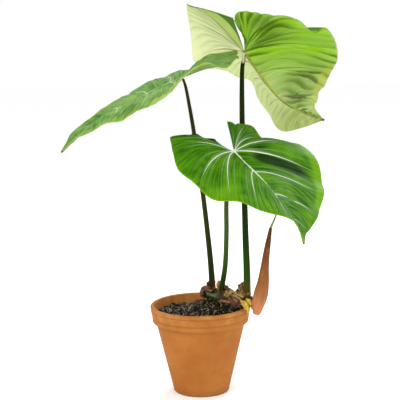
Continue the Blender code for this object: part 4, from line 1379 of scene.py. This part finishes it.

# %% [markdown]
# The under face is paler than the upper one, and shows the veins as thin dark lines. On the high leaf
# one half is almost cream and the other glows green; both are painted light, the cream half the pale
# underside lit from the front and the green half light coming through the blade, so each half gets
# its own two colours. One colour with a strong lamp behind it could not give both. Furrows are
# painted darker as shade, with painted highlights on the ridges and greyer panel sides between veins.


# %% Under face
def under_finish(name, left, left_low, right, right_low, line, band, glow, heights):
    """A blade's under face. Each half has a colour at the top and one lower down, blended over the
    two heights. band is the colour of the turned strip along the notch."""
    made = Leaf(name, 0.58)
    furrow = made.attribute("furrow")
    level = made.height().step(*heights)
    first = made.mix(level, left_low, left)
    second = made.mix(level, right_low, right)
    # tint is the darker colour of the painted shade in the furrows, also laid in streaks.
    tint = made.mix(made.hand, made.mix(0.5, left_low, line), made.mix(0.85, second, line))
    sector = made.count.math("FRACT") * made.hand
    crumple = (made.attribute("dark") * -1.0).step(0.05, 0.6) * made.thread.step(0.35, 0.65)
    khaki = made.count.step(5.6, 7.2) * (0.55 + made.streak.step(0.35, 0.65) * 0.4) * (1.0 - made.hand)
    fine = made.line(2.0, 0.7, 0.5) * made.out.step(0.95, 0.5) * made.out.step(0.05, 0.3)
    strong = made.veins(0.8)
    strip, inside = notch_strip(made, band)
    made.feed(Roughness=0.50 + made.blotch * 0.2, Base_Color=made.layers(
        made.mix(made.hand, first, second),
        (made.cloud.step(0.4, 0.75) * 0.35, made.mix(made.hand, left_low, right_low)),
        (made.streak.step(0.5, 0.8) * 0.35, made.mix(made.hand, left, right)),
        # Painted shade in the furrows, and a painted highlight on the ridges between them, both stronger on the
        # right half.
        (furrow.step(0.15, 0.75) * (0.35 + made.hand * 0.65), tint),
        (furrow.step(0.2, 0.0) * made.hand * 0.35, made.mix(0.5, second, shade(226, 236, 150))),
        (made.thread.step(0.45, 0.75) * (0.12 + made.hand * 0.3), tint),
        # Painted shade: on the right half, the far side of each panel between two veins is greyer, as the
        # pleated panel turns from the light.
        (sector.step(0.30, 0.85) * 0.45, shade(146, 178, 84)),
        (crumple * 0.8, shade(206, 196, 70)),
        (khaki, shade(136, 148, 78)),
        *strip,
        (fine * 0.28, line),
        (strong * 0.8, line),
        (made.reach.step(3.4, 1.6) * 0.8, shade(168, 148, 62)),
        (made.out.step(0.985, 0.997) * 0.6, srgb(226, 230, 170)),
        (made.count.step(7.86, 7.95), TIP_BROWN),
    ))
    made.bump(made.streak * 0.4 + made.blotch * 0.3 + strong + fine * 0.5, 0.6, 0.7)
    made.glow_through(made.mix(inside, made.mix(made.hand, left, glow), band), 0.34)
    return made


print("under face ready")

# %% [markdown]
# All three leaves share the formula and the finishes. Only their pins and colours differ: the low leaf
# is fresh and young, the left one is greyer, and the high one is seen from below.

# %% Blades
UPPER_LOOKS = {
    "blade_front": dict(deep=srgb(34, 92, 2), middle=srgb(82, 152, 8), fresh=srgb(124, 186, 34),
                        sun=srgb(150, 206, 22), vein=srgb(250, 255, 232, 1.05), glow=srgb(110, 190, 10),
                        sun_share=0.5, lobe=srgb(70, 130, 26)),
    # The left leaf's grey-green lobe colour is partly painted sheen of the velvet.
    "blade_left": dict(deep=srgb(66, 112, 36), middle=srgb(118, 174, 70), fresh=srgb(180, 222, 124),
                       sun=srgb(196, 228, 84), vein=srgb(196, 226, 160, 1.1), glow=srgb(120, 190, 40),
                       sun_share=0.6, lobe=srgb(112, 142, 80), thread_share=0.65),
    "blade_top": dict(deep=srgb(40, 92, 10), middle=srgb(74, 140, 22), fresh=srgb(110, 168, 40),
                      sun=srgb(150, 196, 50), vein=srgb(232, 242, 206), glow=srgb(130, 195, 25),
                      sun_share=0.7, lobe=srgb(74, 140, 22)),
}
UNDER_LOOKS = {
    "blade_front": dict(left=shade(150, 176, 104), left_low=shade(136, 164, 90),
                        right=shade(150, 176, 104), right_low=shade(136, 164, 90),
                        line=shade(104, 110, 52), band=shade(120, 160, 70),
                        glow=shade(140, 195, 50), heights=(280.0, 340.0)),
    "blade_left": dict(left=shade(150, 184, 88), left_low=shade(136, 172, 76),
                       right=shade(150, 184, 88), right_low=shade(136, 172, 76),
                       line=shade(106, 112, 48), band=shade(120, 160, 70),
                       glow=shade(150, 205, 50), heights=(380.0, 440.0)),
    # Painted light: the cream left half is the pale underside lit from the front, and the vivid green right
    # half, brightest at the top, is light coming through the blade.
    "blade_top": dict(left=shade(240, 250, 184), left_low=shade(206, 218, 152),
                      right=shade(158, 216, 14), right_low=shade(186, 200, 132),
                      line=shade(70, 72, 6), band=shade(44, 100, 2),
                      glow=shade(150, 212, 6), heights=(405.0, 480.0)),
}
for name, look in UPPER_LOOKS.items():
    finishes = [upper_finish(name + "_upper", **look), under_finish(name + "_under", **UNDER_LOOKS[name])]
    points, faces, uv, values, indices = blade_arrays(BLADES[name])
    add_piece(name + "_leaf", points, faces, uv, finishes, name, "blade", values, indices, merge=0.01)

# %% [markdown]
# The next leaf is still rolled up inside a sheath, a horn that is pink at its foot and brown above. It
# is a tube with a changing radius, and a shallow seam runs up it where its two edges meet.

# %% Sheath of the new leaf
SHEATH_PATH = [(76.5, -40, 119), (77.5, -39.5, 124), (79, -39, 132.5), (82, -37.5, 143), (86, -36, 162),
               (88.5, -33, 182), (91.5, -30, 203), (97, -26, 234)]
SHEATH_RADII = [5.2, 9.4, 10.0, 7.9, 5.6, 4.9, 4.1, 2.2]


def seamed(along, around):
    """Radius factor of the sheath: a groove up its front, and fine lengthwise ribs."""
    groove = 0.10 * np.exp(-((np.mod(around + 0.9, 2 * np.pi) - np.pi) / 0.22) ** 2)
    return 0.985 - groove + 0.012 * np.sin(17 * around) + 0.01 * np.sin(5 * around + 7 * along)


wrap = Finish("new_leaf_sheath", roughness=0.45, Specular_IOR_Level=0.2)
along = wrap.own("Y")
streak = wrap.streaks(30.0, 5.0, 4.0)
cloud = wrap.noise(wrap.place(), 0.07, 3.0)
wrap.feed(Roughness=0.36 + streak * 0.25, Base_Color=wrap.layers(
    srgb(222, 142, 92),
    (along.step(0.10, 0.5), srgb(164, 100, 42)),
    (along.step(0.45, 0.9), srgb(104, 58, 16)),
    (streak.step(0.45, 0.75) * 0.5, srgb(104, 54, 28)),
    (cloud.step(0.55, 0.75) * 0.4, srgb(206, 136, 96)),
))
wrap.bump(streak, 0.35, 0.6)
wrap.glow_through(srgb(210, 120, 70), 0.12)
add_piece("sheath_skin", *tube_grid(SHEATH_PATH, SHEATH_RADII, 130, 56, (1, 0, 0), seamed), [wrap],
          "new_leaf_sheath", "sheath")

# %% [markdown]
# The leaf's green point comes out at the top, rolled like paper. One tube is enough, if its radius
# takes a step once a turn, as where the leaf's edge lies on itself.

# %% Rolled leaf
ROLL_PATH = [(97, -26, 234), (101, -25, 243), (104.5, -24, 252), (106, -23, 262)]
ROLL_RADII = [1.9, 1.7, 1.3, 0.8]


def rolled(along, around):
    """Radius factor of the rolled leaf: a spiral step, as where its edge lies on itself."""
    return 0.86 + 0.14 * np.mod(around / (2 * np.pi) + 1.5 * along, 1.0)


young = Finish("rolled_leaf", roughness=0.45)
young_streak = young.streaks(14.0, 5.0).step(0.35, 0.7)
young.feed(Base_Color=young.mix(young_streak, srgb(96, 128, 52), srgb(150, 176, 84)),
           Roughness=0.4 + young.own("Y") * 0.1)
add_piece("rolled_leaf", *tube_grid(ROLL_PATH, ROLL_RADII, 40, 24, (1, 0, 0), rolled), [young],
          "new_leaf_roll", "new_leaf")

# %% [markdown]
# Old sheaths dry to torn, papery collars round the stalks' feet. Each is part of a flared ring with a
# ragged top, thin and closed. Cloth simulation could crumple a sheet, but a collar has to stay where
# its stalk is, so a formula tears and crinkles it instead.


# %% Dry sheath shape
COLLAR_ROWS = 28
COLLAR_COLUMNS = 100
COLLAR_THICKNESS = 0.8
COLLAR_FOOT = 3.4
TORN_HIGH = math.radians(100)
UPRIGHT = (0.0, 0.0, 1.0)


def collar_arrays(centre, first, last, foot, top, height, axis=UPRIGHT):
    """A collar: part of a ring whose radius grows with height to the power 1.4, and crinkles.

    It stands along the axis. Angles count from the level side direction, over the upper one. An upright
    one is torn slantwise, highest at one angle; one along the stem is torn almost straight.
    """
    upright = axis == UPRIGHT
    share = np.linspace(0, 1, COLLAR_COLUMNS)
    rise = np.linspace(0, 1, COLLAR_ROWS)[:, None]
    angle = np.radians(np.linspace(first, last, COLLAR_COLUMNS))[None, :]
    slant = np.cos(angle - TORN_HIGH) if upright else 0.6 + 0 * angle
    ragged = 0.60 + 0.30 * slant + 0.06 * np.abs(np.sin(3.7 * angle)) + 0.04 * np.sin(23 * angle) * rise ** 3
    crinkle = 0.45 * np.sin(11 * angle + 3 * rise) * rise + 0.25 * np.sin(29 * angle) * rise
    radius = foot + (top - foot) * rise ** 1.4 + crinkle
    up = unit(np.array(axis, float))
    level = np.array([1.0, 0.0, 0.0]) if upright else unit(np.cross(UPRIGHT, up))
    across = np.cross(up, level)
    lengthwise = (height * rise * ragged - COLLAR_FOOT)[..., None] * up
    walls = []
    for reach in (radius, radius + COLLAR_THICKNESS):
        ring = (reach * np.cos(angle))[..., None] * level + (reach * np.sin(angle))[..., None] * across
        walls.append(np.array(centre, float) + lengthwise + ring)
    inner, outer = walls
    loop = np.concatenate([inner, outer[::-1], inner[:1]])
    uv = grid_uv(share, np.linspace(0, 2, len(loop)))
    parts = [(loop.reshape(-1, 3), grid_faces(len(loop), COLLAR_COLUMNS), uv.reshape(-1, 2))]
    for column, flip in ((0, False), (-1, True)):
        side = np.stack([inner[:, column], outer[:, column]], axis=1)
        side_uv = np.zeros((2 * COLLAR_ROWS, 2))
        parts.append((side.reshape(-1, 3), grid_faces(COLLAR_ROWS, 2, flip=flip), side_uv))
    return join_grids(parts)


print("collar formula ready")

# %% [markdown]
# The paper is striped along its length, tan where it is young and dark red-brown where it is old. The
# stripes are noise stretched along the collar, and a little light comes through.

# %% Dry sheath finish
COLLARS = {
    "dry_sheath_right": ("petiole_right", 112, 290, 7.4, 12.5, 16.5),
    "dry_sheath_middle": ("petiole_middle", -85, 75, 6.0, 9.5, 10.5),
    "dry_sheath_left": ("petiole_left", 55, 250, 5.4, 7.6, 11.0),
}


def papery(name, dark, pale, stain, glow):
    """Dry sheath: stripes of fibre along its length, with stained clouds."""
    made = Finish(name, roughness=0.75, Specular_IOR_Level=0.2)
    stripes = made.streaks(26.0, 1.3)
    stained = made.noise(made.place(), 0.16, 3.0)
    colour = made.layers(dark, (stripes.step(0.40, 0.58), pale), (stained.step(0.5, 0.7) * 0.5, stain))
    made.feed(Base_Color=colour, Roughness=0.65 + stripes * 0.25)
    made.bump(stripes, 0.7, 0.9)
    made.glow_through(glow, 0.12)
    return made


paper = papery("dry_sheath", srgb(60, 34, 14), srgb(214, 178, 112), srgb(110, 66, 36), srgb(206, 160, 100))
old_paper = papery("old_sheath", srgb(36, 18, 12), srgb(164, 112, 84), srgb(84, 44, 34), srgb(120, 70, 50))
for name, (stalk, *shape) in COLLARS.items():
    look = old_paper if name == "dry_sheath_left" else paper
    add_piece(name + "_paper", *collar_arrays(STALKS[stalk][0][1], *shape), [look], name, "dry_sheath")

# %% [markdown]
# More torn wraps of the same kind lie along the stem between the stalks, and hide most of it. They
# stand for no node of the solid model, so they only ride with it. The collar's formula makes them,
# once it is given an axis that points along the stem.

# %% Wraps
ALONG_STEM = (0.74, -0.50, -0.42)
ALONG_OLD_STEM = (0.50, -0.86, 0.03)
WRAPS = {
    "wrap_left": ((9.0, 37.0, 130.5), 5, 142, 8.6, 9.0, 36.0, ALONG_OLD_STEM),
    "wrap_left_end": ((8.0, 37.0, 129.5), 60, 235, 7.4, 7.8, 12.0, ALONG_OLD_STEM),
    "wrap_middle": ((40.0, -1.0, 137.0), 20, 250, 7.2, 6.0, 13.0, ALONG_STEM),
    "wrap_right": ((53.0, -7.0, 137.0), 30, 250, 8.8, 9.4, 19.0, ALONG_STEM),
    "wrap_right_low": ((46.0, -6.0, 131.5), 110, 215, 8.6, 9.0, 20.0, ALONG_STEM),
}
OLD_WRAPS = ("wrap_left", "wrap_left_end", "wrap_right_low")
for name, shape in WRAPS.items():
    add_piece(name, *collar_arrays(*shape), [old_paper if name in OLD_WRAPS else paper], None, "dry_sheath")

# %% [markdown]
# A few thin roots creep beside the stem, and fresh knobs hang over the rim: four yellow ones and one of
# coral. Each is a short tube, and tubes of one kind share a mesh. Metaballs would melt together nicely,
# but give no control over where each knob ends.

# %% Thin roots and knobs
THIN_ROOTS = [
    ([(28, -5, 128), (38, -11, 127.5), (49, -16, 127), (60, -24, 127), (67, -31, 127.5)],
     [1.0, 1.2, 1.0, 1.1, 0.8]),
    ([(22, 12, 128), (30, -5, 129.5), (41, -13, 129), (52, -18, 129.5)], [0.7, 0.9, 0.8, 0.6]),
    ([(8, 28, 133), (16, 14, 131), (26, -1, 127), (30, -9, 123)], [0.6, 0.8, 0.7, 0.5]),
]
KNOBS = [
    ([(60, -27, 132), (63, -32, 130), (65, -35.5, 124), (64.5, -35.5, 119)], [2.4, 3.2, 2.8, 1.3]),
    ([(56, -24, 132), (59.5, -28.5, 130.5), (61.5, -32, 127.5)], [1.9, 2.4, 1.4]),
    ([(64, -28, 136), (67, -33, 134), (69, -36, 130)], [1.7, 2.6, 1.6]),
    ([(57, -27, 129), (60.5, -32, 127), (62, -35.5, 123)], [1.5, 2.0, 1.1]),
]
CORAL = [([(69, -30, 133), (72, -35.5, 133), (73.5, -39, 130)], [2.0, 2.6, 1.9])]
BUNDLES = {
    "thin_roots": (THIN_ROOTS, 60, 14, srgb(176, 124, 84), srgb(110, 66, 40), "rhizome"),
    "fresh_knobs": (KNOBS, 30, 22, srgb(236, 206, 60), srgb(196, 146, 30), "root_tip"),
    "coral_knob": (CORAL, 30, 22, srgb(226, 134, 96), srgb(204, 96, 66), "root_tip"),
}


def simple_wax(name, first, second, scale=0.45):
    """A waxy finish between two colours."""
    made = Finish(name, roughness=0.35, Coat_Weight=0.2)
    blend = made.noise(made.place(), scale, 3.0)
    made.feed(Base_Color=made.mix(blend.step(0.35, 0.65), first, second), Roughness=0.28 + blend * 0.25)
    made.bump(blend, 0.3, 0.5)
    return made


for name, (tubes, rows, columns, first, second, slot) in BUNDLES.items():
    grids = [tube_grid(path, radii, rows, columns, UPRIGHT) for path, radii in tubes]
    add_piece(name, *join_grids(grids), [simple_wax(name, first, second)], None, slot)

# %% [markdown]
# Loose fibres stand out of the torn sheaths. Hair curves would be quick to comb, but the library
# wants plain meshes. Here the fibres are many thin tubes made in one array, as the strands on the
# soil are.


# %% Loose fibres
FIBRE_ROWS = 9
FIBRE_COLUMNS = 4
FIBRE_HOMES = {"petiole_right": 0.55, "petiole_middle": 0.25, "petiole_left": 0.20}


def fibre_field(count, seed):
    """Thin curved hairs that rise from the collars' feet: a path per hair bends outwards as it rises.

    A path is its foot plus its length times (rise x up + rise^2 x lean + rise^2 x sway).
    """
    draw = np.random.default_rng(seed)
    feet = np.array([STALKS[name][0][0] for name in FIBRE_HOMES], float)
    home = feet[draw.choice(len(feet), count, p=list(FIBRE_HOMES.values()))]
    aim = np.radians(draw.uniform(95, 285, count))
    start = home + np.stack([7.5 * np.cos(aim), 7.5 * np.sin(aim), draw.uniform(1.0, 4.5, count)], axis=1)
    length = draw.uniform(5, 14, (count, 1, 1))
    lean = np.stack([np.cos(aim), np.sin(aim), np.zeros(count)], axis=1)[:, None, :]
    rise = np.linspace(0, 1, FIBRE_ROWS)[None, :, None]
    sway = draw.uniform(-1, 1, (count, 1, 3)) * np.array([1.0, 1.0, 0.3])
    up = np.array(UPRIGHT)
    path = start[:, None] + length * (0.75 * rise * up + 0.35 * rise ** 2 * lean + 0.3 * rise ** 2 * sway)
    angle = np.linspace(0, 2 * np.pi, FIBRE_COLUMNS)
    ring = np.stack([np.cos(angle), np.sin(angle), 0 * angle], axis=-1)
    thick = draw.uniform(0.12, 0.3, (count, 1, 1, 1)) * (1 - 0.98 * rise[..., None])
    grid = path[:, :, None, :] + thick * ring[None, None]
    uv = np.broadcast_to(grid_uv(angle / 6.28, rise.ravel()), (count, FIBRE_ROWS, FIBRE_COLUMNS, 2))
    return grid.reshape(-1, 3), copy_faces(FIBRE_ROWS, FIBRE_COLUMNS, count), uv.reshape(-1, 2)


add_piece("dry_fibres", *fibre_field(90, 21), [paper], None, "dry_sheath", merge=0.001)

# %% [markdown]
# Three fresh bits are bright against the dry ones: an ochre bud between two stalks, and two yellow
# root tips that push out over the rim. They are short tubes with waxy finishes, like the knobs, but
# each stands for a node of the solid model.

# %% Bud and root tips
FRESH = {
    "bud": ([(25, 14, 136), (25.5, 13.5, 142), (26, 13, 148.5), (27, 12.5, 152.5)],
            [1.2, 1.5, 3.2, 1.9], srgb(214, 160, 42), srgb(176, 112, 26), "bud", (1, 0, 0)),
    "root_tip_upper": ([(60, -20, 129), (62.5, -25, 127.5), (64, -30, 127)],
                       [1.9, 1.8, 1.0], srgb(226, 150, 60), srgb(190, 110, 50), "root_tip", UPRIGHT),
    "root_tip_lower": ([(67, -27, 128), (69, -33, 127), (70.5, -37, 124)],
                       [1.9, 1.7, 0.9], srgb(240, 190, 84), srgb(222, 120, 78), "root_tip", UPRIGHT),
}
for name, (path, radii, first, second, slot, reference) in FRESH.items():
    add_piece(name + "_skin", *tube_grid(path, radii, 36, 24, reference),
              [simple_wax(name, first, second)], name, slot)
